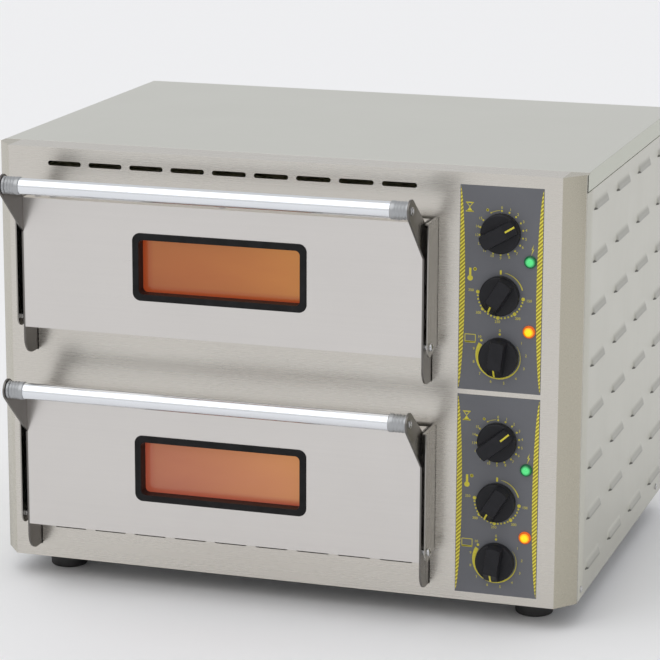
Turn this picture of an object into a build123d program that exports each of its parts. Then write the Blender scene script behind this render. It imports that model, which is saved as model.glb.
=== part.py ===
"""Countertop pizza oven with two decks, modelled as the separate pieces it is built from.

Millimetres, +Z up, +X to the right of someone facing the oven, +Y to its back.
The origin is on the table, under the middle of the oven's outline.
Depths are measured back from the outer face of the front fascia, so what stands
out in front of it has a negative depth. Heights in the body start at its underside.
"""
import os
from math import cos, radians, sin

from build123d import *

# ---------------------------------------------------------------- driving sizes
# body
body_width = 670.0
body_depth = 500.0
body_height = 474.0
foot_height = 28.0
sheet = 1.2
lap_gap = 0.3              # between sheets that lie over each other
corner_width = 19.8        # the slanted front corners, across the front
corner_depth = 25.0        # and along the side
corner_overlap = 0.45      # share of the sheet that a slanted wall takes off the front's inside
corner_rise = 0.3          # and off the side's
seam_depth = 28.0          # where the fascia joggles in behind the side panels
seam_gap = 2.5
joggle_flange = 22.0
top_return_depth = 38.0
bottom_return_depth = 51.0
cover_seam = 1.2
cover_band_height = 20.0
band_setback = 6.0         # open gap behind a slanted corner, at the band's front ends
band_gap = 1.0             # between the cover's band and the side panel under it
tongue_front_depth = 53.0  # strip behind the band that the side panel hangs on
tongue_lap = 12.0

# decks
deck_pitch = 228.5
lower_door_height = 48.4   # underside of the lower door above the body's underside
deck_centre_x = -55.5

# doors
door_width = 457.0
door_height = 146.3
door_front_depth = -34.0
shell_back_depth = -8.0
pan_back_depth = -1.5
pan_inset = 6.0
pan_sheet = 1.0
cheek_thickness = 2.0
heel_drop = 33.0
heel_radius = 20.0
heel_back_depth = 1.0
handle_depth = -83.4
handle_rise = 168.6        # handle axis above the door's underside
handle_radius = 9.0
handle_wall = 2.0
handle_engagement = 6.0    # how far the tube goes into each ferrule
ferrule_radius = 10.0
ferrule_length = 20.0
cheek_tip_radius = 12.0
gusset_tip_rise = 107.6
handle_screw_radius = 4.6
handle_screw_length = 11.0
top_screw_offsets = (-216.0, -198.0, 0.0, 198.0, 216.0)
top_screw_depth = -21.0
cheek_foot_rise = 1.0      # where the heel's blend meets the cheek's front and back
cheek_step_drop = 3.0

# window in each door
window_width = 200.0
window_height = 75.5
window_rise = 39.4
window_corner = 9.0
bezel_border = 7.5
bezel_proud = 1.5
bezel_chamfer = 0.8
sleeve_wall = 2.0
glass_depth = -21.0
glass_thickness = 4.0
fit_gap = 0.3

# door hinges
pivot_depth = -27.0
pivot_rise = 10.9
pivot_radius = 3.0
running_clearance = 0.05
bracket_gap = 4.5
bracket_thickness = 1.5
bracket_front_depth = -38.0
bracket_nose_radius = 11.0
bracket_lip = 3.0
bracket_flange_width = 14.0
bracket_foot_rise = 8.0
pivot_head_radius = 4.6
pivot_head_height = 3.0
pivot_nut_radius = 4.6
pivot_nut_height = 2.8
pivot_reach = 2.5
pivot_hole_gap = 1.5
pivot_wool_gap = 2.0
slot_clearance = 0.8
heel_slot_top_rise = 39.0

# baking chambers
chamber_width = 430.0
chamber_depth = 430.0
chamber_height = 122.0
chamber_floor_rise = 12.0
chamber_sheet = 1.5
rail_width = 15.0
rail_rise = 22.5
rail_thickness = 1.5
stone_width = 420.0
stone_depth = 400.0
stone_thickness = 12.0
stone_front_depth = 15.0
stone_corner = 3.0
insulation_side = 25.0
insulation_back = 30.0
insulation_height = 30.0
insulation_front_depth = 30.0

# heating elements, probe and chamber lamp
rod_radius = 3.25
rod_pitch = 96.0
rod_front_depth = 60.0
rod_turn_back_depth = 370.0
rod_tail = 34.0
lower_rod_rise = 5.0       # above the chamber floor
upper_rod_drop = 8.0       # below the chamber ceiling
rod_hole_gap = 0.3
probe_radius = 3.0
probe_length = 80.0
probe_depth = 215.0
probe_drop = 8.0
probe_tail = 6.0
lamp_glass_radius = 20.0
lamp_glass_thickness = 4.0
lamp_body_radius = 14.0
lamp_depth = 150.0
lamp_rise = 68.0

# control compartment
partition_x = 190.0
partition_thickness = 1.0
control_x = 250.0
label_width = 91.2
label_height = 223.0
label_thickness = 0.5
lower_label_height = 9.5
lower_control_heights = {"regulator": 47.9, "thermostat": 115.3, "timer": 182.7}
pilot_x = 282.0
lower_pilot_heights = {"amber": 77.7, "green": 153.5}
knob_radius = 21.5
knob_skirt = 8.0
knob_grip_width = 16.0
knob_grip_length = 42.0
knob_grip_height = 13.0
knob_gap = 1.0
knob_skirt_fillet = 2.0
knob_grip_corner = 6.0
knob_grip_taper = 6.0
knob_grip_fillet = 1.2
knob_slope_start = 9.5     # the grip slopes down from here to its pointer end
knob_slope_end = 20.5
knob_slope_foot = 2.6
knob_bore_depth = 14.0
shaft_radius = 3.0
shaft_end_gap = 0.5
shaft_reach = 12.0
bushing_radius = 4.8
bushing_hole_gap = 0.2
control_box_corner = 3.0
control_boxes = {
    "timer": (46.0, 50.0, 30.0),
    "thermostat": (44.0, 38.0, 34.0),
    "regulator": (48.0, 44.0, 26.0),
}
pilot_lens_radius = 6.8
pilot_body_radius = 5.8
pilot_body_length = 24.0
pilot_rim = 1.5
pilot_dome = 2.6
pilot_dome_inset = 0.8
dome_taper = 25.0          # degrees, on pilot lenses and screw heads
pilot_hole_gap = 0.2

# how far each knob stands from its zero mark, clockwise, as the oven is set
knob_angles = {
    ("upper", "timer"): 60.0,
    ("upper", "thermostat"): 212.0,
    ("upper", "regulator"): 187.0,
    ("lower", "timer"): 51.0,
    ("lower", "thermostat"): 212.0,
    ("lower", "regulator"): 187.0,
}

# vents and louvres
vent_count = 9
vent_pitch = 48.15
vent_length = 39.0
vent_height = 5.4
top_vent_height = 456.5
bottom_vent_height = 38.5
louvre_columns = 4
louvre_rows = 8
louvre_first_depth = 97.0
louvre_first_height = 33.0
louvre_pitch_y = 114.0
louvre_pitch_z = 57.5
louvre_length = 72.0
louvre_lip_length = 56.0
louvre_height = 12.0
louvre_proud = 3.0
louvre_sheet = 1.0
back_vent_rows = 5
back_vent_pitch = 16.0
back_vent_first_height = 330.0

# feet, screws, cable entry
foot_radius = 22.5
foot_base_radius = 21.0
foot_x = 278.4
foot_inset = 65.6
stud_radius = 4.0
stud_height = 12.0
screw_radius = 1.7
screw_head_radius = 3.8
screw_head_height = 2.0
screw_length = 7.0
screw_hole_gap = 0.2
side_screw_depths = (43.0, 457.0)
side_screw_height = 11.0
back_screw_spacing_x = 210.0
back_screw_spacing_z = 430.0
back_screw_height = 228.0
gland_x = 250.0
gland_height = 60.0
gland_bore_radius = 5.0
gland_thread_radius = 8.0
gland_body_radius = 12.0
gland_collar = 6.0
gland_reach = 20.0
gland_nose_inset = 2.0
gland_taper = 12.0
gland_thread_length = 12.0
gland_nut = 4.0
terminal_size = (54.0, 22.0, 24.0)
terminal_height = 110.0
terminal_columns = 5
terminal_rows = 2
terminal_pitch = 10.0
terminal_hole_radius = 2.6
terminal_hole_depth = 8.0
past = 10.0                # how far a cutting shape runs past what it cuts

# ---------------------------------------------------------------- derived places
half_width = body_width / 2
front_reach = cheek_tip_radius - handle_depth
front_y = (front_reach - body_depth - gland_reach) / 2
body_z = foot_height
top_z = body_z + body_height
flange_face = half_width - sheet - lap_gap
back_face_depth = body_depth - sheet - lap_gap
cover_inner_top = top_z - sheet - lap_gap
band_bottom = top_z - cover_band_height
inner_back_depth = back_face_depth - sheet - lap_gap
half_door = door_width / 2
cheek_face = half_door + cheek_thickness
bracket_inner = cheek_face + bracket_gap
bracket_outer = bracket_inner + bracket_thickness
window_opening = (window_width - 2 * bezel_border, window_height - 2 * bezel_border)
sleeve_size = (window_opening[0] + 2 * sleeve_wall, window_opening[1] + 2 * sleeve_wall)
stone_rise = rail_rise + rail_thickness
decks = {
    "lower": body_z + lower_door_height,
    "upper": body_z + lower_door_height + deck_pitch,
}


def at_depth(depth):
    """World Y of a depth behind the fascia's outer face."""
    return front_y + depth


def front_plane(depth):
    """Upright sketch plane at a depth, facing forwards, in world X and Z."""
    return Plane(origin=(0, at_depth(depth), 0), x_dir=(1, 0, 0), z_dir=(0, -1, 0))


def side_plane(x):
    """Upright sketch plane at a given X, facing right, in world Y and Z."""
    return Plane.YZ.offset(x)


def save(piece, name):
    """Label a finished sub-part and write it as its own STEP file."""
    piece.part.label = name
    export_step(piece.part, "parts/" + name + ".step")


def discs(plane, places, radius):
    """Circles of one radius on a plane, ready to extrude."""
    with BuildSketch(plane) as circles:
        with Locations(*places):
            Circle(radius)
    return circles.sketch


def deck_shift(deck):
    """How far a deck's controls stand above the lower deck's."""
    return decks[deck] - decks["lower"]


def control_places():
    """Every knob: its deck, kind and height."""
    return [
        (deck, kind, body_z + height + deck_shift(deck))
        for deck in decks
        for kind, height in lower_control_heights.items()
    ]


def pilot_places(colour):
    """Heights of the pilot lamps of one colour."""
    return [body_z + lower_pilot_heights[colour] + deck_shift(deck) for deck in decks]


def fascia_outline():
    """Section of the fascia seen from above: flat front, slanted corners, joggled flanges."""
    flat = half_width - corner_width
    inner_flat = flat - sheet * corner_overlap
    half = [
        (flat, 0.0),
        (half_width, corner_depth),
        (half_width, seam_depth),
        (flange_face, seam_depth),
        (flange_face, seam_depth + joggle_flange),
        (flange_face - sheet, seam_depth + joggle_flange),
        (flange_face - sheet, seam_depth - sheet),
        (half_width - sheet, seam_depth - sheet),
        (half_width - sheet, corner_depth + sheet * corner_rise),
        (inner_flat, sheet),
    ]
    right = [(x, at_depth(depth)) for x, depth in half]
    left = [(-x, y) for x, y in reversed(right)]
    return right + left


def front_corner_outline(depth, inset):
    """Plan outline of a return sheet that follows the slanted corners."""
    flat = half_width - corner_width - inset
    side = half_width - inset
    right = [(flat, at_depth(inset)), (side, at_depth(corner_depth)), (side, at_depth(depth))]
    left = [(-x, y) for x, y in reversed(right)]
    return right + left


os.makedirs("parts", exist_ok=True)

# ---------------------------------------------------------------- front fascia
with BuildPart() as front_fascia:
    with BuildSketch(Plane.XY.offset(body_z)):
        with BuildLine():
            Polyline(*fascia_outline(), close=True)
        make_face()
    extrude(amount=body_height)
    with BuildSketch(Plane.XY.offset(top_z - sheet)):
        with BuildLine():
            Polyline(*front_corner_outline(top_return_depth, 0), close=True)
        make_face()
    extrude(amount=sheet)
    with BuildSketch(Plane.XY.offset(body_z)):
        with BuildLine():
            Polyline(*front_corner_outline(seam_depth - sheet, sheet), close=True)
        make_face()
        with Locations((0, at_depth((bottom_return_depth + corner_depth) / 2))):
            Rectangle(2 * (flange_face - sheet), bottom_return_depth - corner_depth)
    extrude(amount=sheet)
    # room for the top cover behind the top return
    with BuildSketch(Plane.XY.offset(cover_inner_top)):
        with Locations((0, at_depth(top_return_depth + body_depth / 2))):
            Rectangle(body_width, body_depth)
    extrude(amount=body_height, mode=Mode.SUBTRACT)
    # the flanges stop below the cover's band
    with BuildSketch(Plane.XY.offset(band_bottom - band_gap)):
        with Locations((0, at_depth(seam_depth + joggle_flange))):
            Rectangle(body_width, 2 * joggle_flange)
    extrude(amount=cover_band_height + band_gap - sheet, mode=Mode.SUBTRACT)
    # chamber mouths and heel slots
    with BuildSketch(front_plane(0)):
        for door_z in decks.values():
            with Locations((deck_centre_x, door_z + chamber_floor_rise + chamber_height / 2)):
                Rectangle(chamber_width, chamber_height)
            slot_low = door_z - heel_drop - slot_clearance
            slot_high = door_z + heel_slot_top_rise
            heel_x = half_door + cheek_thickness / 2
            with Locations(
                (deck_centre_x - heel_x, (slot_low + slot_high) / 2),
                (deck_centre_x + heel_x, (slot_low + slot_high) / 2),
            ):
                Rectangle(cheek_thickness + 2 * slot_clearance, slot_high - slot_low)
            bracket_x = (bracket_inner + bracket_outer) / 2
            bracket_low = door_z + bracket_foot_rise - fit_gap
            bracket_high = door_z + door_height + fit_gap
            with Locations(
                (deck_centre_x - bracket_x, (bracket_low + bracket_high) / 2),
                (deck_centre_x + bracket_x, (bracket_low + bracket_high) / 2),
            ):
                Rectangle(bracket_thickness + 2 * fit_gap, bracket_high - bracket_low)
        for vent_z in (top_vent_height, bottom_vent_height):
            with Locations((deck_centre_x, body_z + vent_z)):
                with GridLocations(vent_pitch, 1, vent_count, 1):
                    SlotOverall(vent_length, vent_height)
        for deck, kind, control_z in control_places():
            with Locations((control_x, control_z)):
                Circle(bushing_radius + bushing_hole_gap)
        for colour in lower_pilot_heights:
            with Locations(*[(pilot_x, z) for z in pilot_places(colour)]):
                Circle(pilot_body_radius + pilot_hole_gap)
    extrude(amount=-2 * sheet, mode=Mode.SUBTRACT)
    # holes for the side panels' front screws, through both flanges
    flange_hole = (at_depth(side_screw_depths[0]), body_z + side_screw_height)
    extrude(
        discs(side_plane(0), [flange_hole], screw_radius + screw_hole_gap),
        amount=half_width,
        both=True,
        mode=Mode.SUBTRACT,
    )
save(front_fascia, "front_fascia")

# ---------------------------------------------------------------- top cover
with BuildPart() as top_cover:
    cover_front = at_depth(top_return_depth + cover_seam)
    cover_back = at_depth(body_depth)
    with BuildSketch(Plane.XY.offset(top_z)):
        with Locations((0, (cover_front + cover_back) / 2)):
            Rectangle(body_width, cover_back - cover_front)
    extrude(amount=-cover_band_height)
    with BuildSketch(Plane.XY.offset(top_z - sheet)):
        with Locations((0, (cover_front + cover_back - sheet) / 2 - sheet)):
            Rectangle(body_width - 2 * sheet, cover_back - cover_front + sheet)
    extrude(amount=-cover_band_height, mode=Mode.SUBTRACT)
    # the band's front ends pass under the fascia's top return
    tab_front = at_depth(seam_depth + band_setback)
    with BuildSketch(Plane.XY.offset(cover_inner_top)):
        for sign in (-1, 1):
            with Locations((sign * (half_width - sheet / 2), (tab_front + cover_front) / 2)):
                Rectangle(sheet, cover_front - tab_front)
    extrude(amount=band_bottom - cover_inner_top)
save(top_cover, "top_cover")


# ---------------------------------------------------------------- side panels
def side_panel(sign, name):
    """A flat side sheet with pressed louvres that open downwards, hung behind the cover's band."""
    face = sign * half_width
    panel_front = at_depth(seam_depth + seam_gap)
    panel_back = at_depth(body_depth)
    panel_top = band_bottom - band_gap
    outwards = Plane(origin=(face, 0, 0), x_dir=(0, sign, 0), z_dir=(sign, 0, 0))
    grid = [
        (
            sign * at_depth(louvre_first_depth + column * louvre_pitch_y),
            body_z + louvre_first_height + row * louvre_pitch_z,
        )
        for column in range(louvre_columns)
        for row in range(louvre_rows)
    ]
    with BuildPart() as hood:
        with BuildSketch(outwards):
            Rectangle(louvre_length, louvre_height)
        with BuildSketch(outwards.offset(louvre_proud)):
            with Locations((0, -louvre_height / 2 + louvre_sheet / 2)):
                Rectangle(louvre_lip_length, louvre_sheet)
        loft()
    with BuildPart() as hollow:
        with BuildSketch(outwards.offset(-sheet)):
            with Locations((0, -louvre_sheet)):
                Rectangle(louvre_length - 2 * louvre_sheet, louvre_height)
        with BuildSketch(outwards.offset(louvre_proud - louvre_sheet)):
            with Locations((0, -louvre_height / 2 - louvre_sheet)):
                Rectangle(louvre_lip_length - 2 * louvre_sheet, 2 * louvre_sheet)
        loft()
    with BuildPart() as panel:
        with BuildSketch(side_plane(face)):
            with Locations(((panel_front + panel_back) / 2, (body_z + panel_top) / 2)):
                Rectangle(panel_back - panel_front, panel_top - body_z)
        extrude(amount=-sign * sheet)
        tongue_front = at_depth(tongue_front_depth)
        tongue_back = at_depth(inner_back_depth)
        tongue_bottom = panel_top - tongue_lap
        with BuildSketch(side_plane(sign * flange_face)):
            with Locations(((tongue_front + tongue_back) / 2, (tongue_bottom + cover_inner_top) / 2)):
                Rectangle(tongue_back - tongue_front, cover_inner_top - tongue_bottom)
        extrude(amount=-sign * sheet)
        with BuildSketch(side_plane(sign * flange_face)):
            with Locations(((tongue_front + tongue_back) / 2, (tongue_bottom + panel_top) / 2)):
                Rectangle(tongue_back - tongue_front, panel_top - tongue_bottom)
        extrude(amount=sign * lap_gap)
        screw_holes = [(at_depth(depth), body_z + side_screw_height) for depth in side_screw_depths]
        extrude(
            discs(side_plane(face), screw_holes, screw_radius + screw_hole_gap),
            amount=-sign * past,
            mode=Mode.SUBTRACT,
        )
        places = [Location((0, sign * y, z)) for y, z in grid]
        add([hood.part.moved(place) for place in places])
        add([hollow.part.moved(place) for place in places], mode=Mode.SUBTRACT)
    save(panel, name)


side_panel(-1, "left_side_panel")
side_panel(1, "right_side_panel")

# ---------------------------------------------------------------- back panel and base
back_screw_places = [
    (x * back_screw_spacing_x, body_z + back_screw_height + z * back_screw_spacing_z / 2)
    for x in (-1.5, -0.5, 0.5, 1.5)
    for z in (-1, 1)
]
with BuildPart() as back_panel:
    with BuildSketch(front_plane(back_face_depth)):
        with Locations((0, (body_z + cover_inner_top) / 2)):
            Rectangle(2 * flange_face, cover_inner_top - body_z)
        with Locations((gland_x, body_z + gland_height)):
            Circle(gland_thread_radius + fit_gap, mode=Mode.SUBTRACT)
        with Locations(*back_screw_places):
            Circle(screw_radius + screw_hole_gap, mode=Mode.SUBTRACT)
        for row in range(back_vent_rows):
            with Locations((0, body_z + back_vent_first_height + row * back_vent_pitch)):
                with GridLocations(vent_pitch, 1, vent_count, 1):
                    SlotOverall(vent_length, vent_height, mode=Mode.SUBTRACT)
    extrude(amount=sheet)
save(back_panel, "back_panel")

base_front = at_depth(bottom_return_depth + seam_gap)
base_back = at_depth(inner_back_depth)
base_half = flange_face
foot_rows = (at_depth(foot_inset), at_depth(body_depth - foot_inset))
foot_places = [(x, y) for x in (-foot_x, foot_x) for y in foot_rows]
with BuildPart() as base_pan:
    with BuildSketch(Plane.XY.offset(body_z)):
        with Locations((0, (base_front + base_back) / 2)):
            Rectangle(2 * base_half, base_back - base_front)
    extrude(amount=cover_band_height)
    with BuildSketch(Plane.XY.offset(body_z + sheet)):
        with Locations((0, (base_front + base_back) / 2)):
            Rectangle(2 * (base_half - sheet), base_back - base_front)
    extrude(amount=cover_band_height, mode=Mode.SUBTRACT)
    with BuildSketch(Plane.XY.offset(body_z)):
        with Locations(*foot_places):
            Circle(stud_radius + fit_gap)
    extrude(amount=sheet, mode=Mode.SUBTRACT)
    flange_hole = (at_depth(side_screw_depths[1]), body_z + side_screw_height)
    extrude(
        discs(side_plane(0), [flange_hole], screw_radius + screw_hole_gap),
        amount=half_width,
        both=True,
        mode=Mode.SUBTRACT,
    )
save(base_pan, "base_pan")

with BuildPart() as feet:
    for foot_place in foot_places:
        with BuildSketch(Plane.XY):
            with Locations(foot_place):
                Circle(foot_base_radius)
        with BuildSketch(Plane.XY.offset(foot_height)):
            with Locations(foot_place):
                Circle(foot_radius)
        loft()
        with BuildSketch(Plane.XY.offset(foot_height)):
            with Locations(foot_place):
                Circle(stud_radius)
        extrude(amount=stud_height)
save(feet, "feet")

with BuildPart() as control_partition:
    with BuildSketch(side_plane(partition_x)):
        partition_back = at_depth(inner_back_depth)
        partition_front = at_depth(bottom_return_depth + seam_gap)
        partition_low = body_z + sheet + lap_gap
        with Locations(((partition_front + partition_back) / 2, (partition_low + cover_inner_top) / 2)):
            Rectangle(partition_back - partition_front, cover_inner_top - partition_low)
        for door_z in decks.values():
            probe_z = door_z + chamber_floor_rise + chamber_height - probe_drop
            with Locations((at_depth(probe_depth), probe_z)):
                Circle(probe_radius + rod_hole_gap, mode=Mode.SUBTRACT)
    extrude(amount=partition_thickness)
save(control_partition, "control_partition")


# ---------------------------------------------------------------- screws
def make_screw(plane, head_radius, length):
    """A dome-headed screw whose head stands on the given plane."""
    with BuildPart() as screw:
        extrude(discs(plane, [(0, 0)], head_radius), amount=screw_head_height, taper=dome_taper)
        extrude(discs(plane, [(0, 0)], screw_radius), amount=-length)
    return screw.part


side_screw_planes = [
    Plane(origin=(sign * half_width, at_depth(depth), body_z + side_screw_height), z_dir=(sign, 0, 0))
    for sign in (-1, 1)
    for depth in side_screw_depths
]
back_screw_planes = [
    Plane(origin=(x, at_depth(back_face_depth), z), z_dir=(0, 1, 0)) for x, z in back_screw_places
]
panel_screw_planes = side_screw_planes + back_screw_planes
panel_screw_parts = [make_screw(plane, screw_head_radius, screw_length) for plane in panel_screw_planes]
with BuildPart() as panel_screws:
    add(panel_screw_parts)
save(panel_screws, "panel_screws")


# ---------------------------------------------------------------- chambers
def chamber_block(grow_side, grow_back, grow_height, front_depth, door_z):
    """A block around a chamber's inside, grown by the given amounts, from a front depth back."""
    with BuildPart() as block:
        with BuildSketch(front_plane(front_depth)):
            with Locations((deck_centre_x, door_z + chamber_floor_rise + chamber_height / 2)):
                Rectangle(chamber_width + 2 * grow_side, chamber_height + 2 * grow_height)
        extrude(amount=front_depth - (chamber_depth + sheet + grow_back))
    return block.part


def rod_centre_heights(door_z):
    """Heights of the lower and upper heating rods of a deck."""
    floor_z = door_z + chamber_floor_rise
    return (floor_z + lower_rod_rise, floor_z + chamber_height - upper_rod_drop)


def rod_end_places(door_z):
    """Where the rods' straight ends leave through the chamber's back."""
    return [(deck_centre_x + x * rod_pitch, z) for x in (-1.5, 1.5) for z in rod_centre_heights(door_z)]


def side_wall_holes(door_z):
    """The probe's and the lamp's holes through the walls on the right of a chamber."""
    wall = side_plane(deck_centre_x + chamber_width / 2 - chamber_sheet)
    ceiling_z = door_z + chamber_floor_rise + chamber_height
    lamp_z = door_z + chamber_floor_rise + lamp_rise
    probe_place = (at_depth(probe_depth), ceiling_z - probe_drop)
    probe_hole = discs(wall, [probe_place], probe_radius + rod_hole_gap)
    lamp_hole = discs(wall, [(at_depth(lamp_depth), lamp_z)], lamp_glass_radius + fit_gap)
    return [*probe_hole.faces(), *lamp_hole.faces()]


def make_chamber(deck, door_z):
    """The folded liner with the two rails that carry the stone."""
    outside = chamber_block(chamber_sheet, chamber_sheet, chamber_sheet, sheet, door_z)
    inside = chamber_block(0, 0, 0, sheet, door_z)
    with BuildPart() as chamber:
        add(outside)
        add(inside, mode=Mode.SUBTRACT)
        rail_x = (chamber_width - rail_width) / 2
        with BuildSketch(front_plane(stone_front_depth)):
            with Locations(
                (deck_centre_x - rail_x, door_z + rail_rise + rail_thickness / 2),
                (deck_centre_x + rail_x, door_z + rail_rise + rail_thickness / 2),
            ):
                Rectangle(rail_width, rail_thickness)
        extrude(amount=-stone_depth)
        with BuildSketch(front_plane(chamber_depth)):
            with Locations(*rod_end_places(door_z)):
                Circle(rod_radius + rod_hole_gap)
        extrude(amount=-past, mode=Mode.SUBTRACT)
        extrude(side_wall_holes(door_z), amount=past, mode=Mode.SUBTRACT)
    save(chamber, deck + "_chamber")


def make_insulation(deck, door_z):
    """Mineral wool around the liner."""
    wool_side = chamber_sheet + insulation_side
    wool_height = chamber_sheet + insulation_height
    wool_back = chamber_sheet + insulation_back
    outside = chamber_block(wool_side, wool_back, wool_height, insulation_front_depth, door_z)
    liner = chamber_block(chamber_sheet, chamber_sheet, chamber_sheet, insulation_front_depth, door_z)
    with BuildPart() as wool:
        add(outside)
        add(liner, mode=Mode.SUBTRACT)
        with BuildSketch(front_plane(chamber_depth)):
            with Locations(*rod_end_places(door_z)):
                Circle(rod_radius + rod_hole_gap)
        extrude(amount=-(insulation_back + past), mode=Mode.SUBTRACT)
        extrude(side_wall_holes(door_z), amount=insulation_side + past, mode=Mode.SUBTRACT)
    save(wool, deck + "_insulation")


def make_stone(deck, door_z):
    """The baking stone, lying on the rails."""
    with BuildPart() as stone:
        with BuildSketch(Plane.XY.offset(door_z + stone_rise)):
            with Locations((deck_centre_x, at_depth(stone_front_depth + stone_depth / 2))):
                RectangleRounded(stone_width, stone_depth, stone_corner)
        extrude(amount=stone_thickness)
    save(stone, deck + "_baking_stone")


def make_elements(deck, door_z):
    """Two heating rods, each bent in three hairpins, under the stone and under the ceiling."""
    turn = rod_pitch / 2
    tail_depth = chamber_depth + sheet + chamber_sheet + rod_tail
    legs = [deck_centre_x + k * rod_pitch for k in (-1.5, -0.5, 0.5, 1.5)]
    low = at_depth(rod_front_depth + turn)
    high = at_depth(rod_turn_back_depth - turn)
    with BuildPart() as rods:
        for rod_z in rod_centre_heights(door_z):
            with BuildLine(Plane.XY.offset(rod_z)) as path:
                Line((legs[0], at_depth(tail_depth)), (legs[0], low))
                CenterArc((legs[0] + turn, low), turn, 180, 180)
                Line((legs[1], low), (legs[1], high))
                CenterArc((legs[1] + turn, high), turn, 180, -180)
                Line((legs[2], high), (legs[2], low))
                CenterArc((legs[2] + turn, low), turn, 180, 180)
                Line((legs[3], low), (legs[3], at_depth(tail_depth)))
            with BuildSketch(Plane(origin=(legs[0], at_depth(tail_depth), rod_z), z_dir=(0, -1, 0))):
                Circle(rod_radius)
            sweep(path=path.wires()[0])
    save(rods, deck + "_heating_elements")


for deck, door_z in decks.items():
    make_chamber(deck, door_z)
    make_insulation(deck, door_z)
    make_stone(deck, door_z)
    make_elements(deck, door_z)

with BuildPart() as thermostat_probes:
    for door_z in decks.values():
        probe_z = door_z + chamber_floor_rise + chamber_height - probe_drop
        with BuildSketch(side_plane(partition_x + partition_thickness + probe_tail)):
            with Locations((at_depth(probe_depth), probe_z)):
                Circle(probe_radius)
        extrude(amount=-probe_length)
save(thermostat_probes, "thermostat_probes")

with BuildPart() as chamber_lamps:
    for door_z in decks.values():
        lamp_place = (at_depth(lamp_depth), door_z + chamber_floor_rise + lamp_rise)
        with BuildSketch(side_plane(deck_centre_x + chamber_width / 2)):
            with Locations(lamp_place):
                Circle(lamp_glass_radius)
        extrude(amount=lamp_glass_thickness)
        with BuildSketch(side_plane(deck_centre_x + chamber_width / 2 + lamp_glass_thickness)):
            with Locations(lamp_place):
                Circle(lamp_body_radius)
        extrude(amount=insulation_side - lamp_glass_thickness)
save(chamber_lamps, "chamber_lamps")


# ---------------------------------------------------------------- doors
def window_sketch(size, door_z, grow=0.0):
    """A rounded window outline, centred on the door."""
    with Locations((deck_centre_x, door_z + window_rise + window_height / 2)):
        RectangleRounded(size[0] + 2 * grow, size[1] + 2 * grow, window_corner - bezel_border / 2 + grow)


def pivot_disc(radius, sign, offset, door_z):
    """A disc on the door's hinge axis, at an X distance to one side of the door's middle."""
    place = (at_depth(pivot_depth), door_z + pivot_rise)
    return discs(side_plane(deck_centre_x + sign * offset), [place], radius)


def make_outer_panel(deck, door_z):
    """The folded front shell of a door."""
    with BuildPart() as shell:
        with BuildSketch(front_plane(door_front_depth)):
            with Locations((deck_centre_x, door_z + door_height / 2)):
                Rectangle(door_width, door_height)
        extrude(amount=door_front_depth - shell_back_depth)
        with BuildSketch(front_plane(door_front_depth + sheet)):
            with Locations((deck_centre_x, door_z + door_height / 2)):
                Rectangle(door_width - 2 * sheet, door_height - 2 * sheet)
        extrude(amount=door_front_depth - shell_back_depth, mode=Mode.SUBTRACT)
        with BuildSketch(front_plane(door_front_depth)):
            window_sketch(sleeve_size, door_z, fit_gap)
        extrude(amount=-2 * sheet, mode=Mode.SUBTRACT)
        for sign in (-1, 1):
            pin_hole = pivot_disc(pivot_radius + pivot_hole_gap, sign, half_door - 2 * sheet, door_z)
            extrude(pin_hole, amount=sign * 3 * sheet, mode=Mode.SUBTRACT)
        with BuildSketch(Plane.XY.offset(door_z + door_height)):
            with Locations(*[(deck_centre_x + x, at_depth(top_screw_depth)) for x in top_screw_offsets]):
                Circle(screw_radius + screw_hole_gap)
        extrude(amount=-2 * sheet, mode=Mode.SUBTRACT)
    save(shell, deck + "_door_outer_panel")


def make_inner_panel(deck, door_z):
    """The pan behind the door shell, with the sleeve that clamps the glass."""
    middle = (deck_centre_x, door_z + door_height / 2)
    flange = (door_width - 2 * sheet - 2 * fit_gap, door_height - 2 * sheet - 2 * fit_gap)
    pan = (door_width - 2 * pan_inset, door_height - 2 * pan_inset)
    with BuildPart() as inner:
        with BuildSketch(front_plane(shell_back_depth - pan_sheet)):
            with Locations(middle):
                Rectangle(*flange)
        extrude(amount=-pan_sheet)
        with BuildSketch(front_plane(shell_back_depth)):
            with Locations(middle):
                Rectangle(*pan)
        extrude(amount=shell_back_depth - pan_back_depth)
        with BuildSketch(front_plane(shell_back_depth - pan_sheet)):
            with Locations(middle):
                Rectangle(pan[0] - 2 * pan_sheet, pan[1] - 2 * pan_sheet)
        extrude(amount=shell_back_depth - pan_back_depth, mode=Mode.SUBTRACT)
        with BuildSketch(front_plane(glass_depth + glass_thickness)):
            window_sketch(sleeve_size, door_z)
        extrude(amount=glass_depth + glass_thickness - pan_back_depth)
        with BuildSketch(front_plane(glass_depth + glass_thickness)):
            window_sketch(window_opening, door_z)
        extrude(amount=glass_depth + glass_thickness - pan_back_depth, mode=Mode.SUBTRACT)
    save(inner, deck + "_door_inner_panel")


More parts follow.
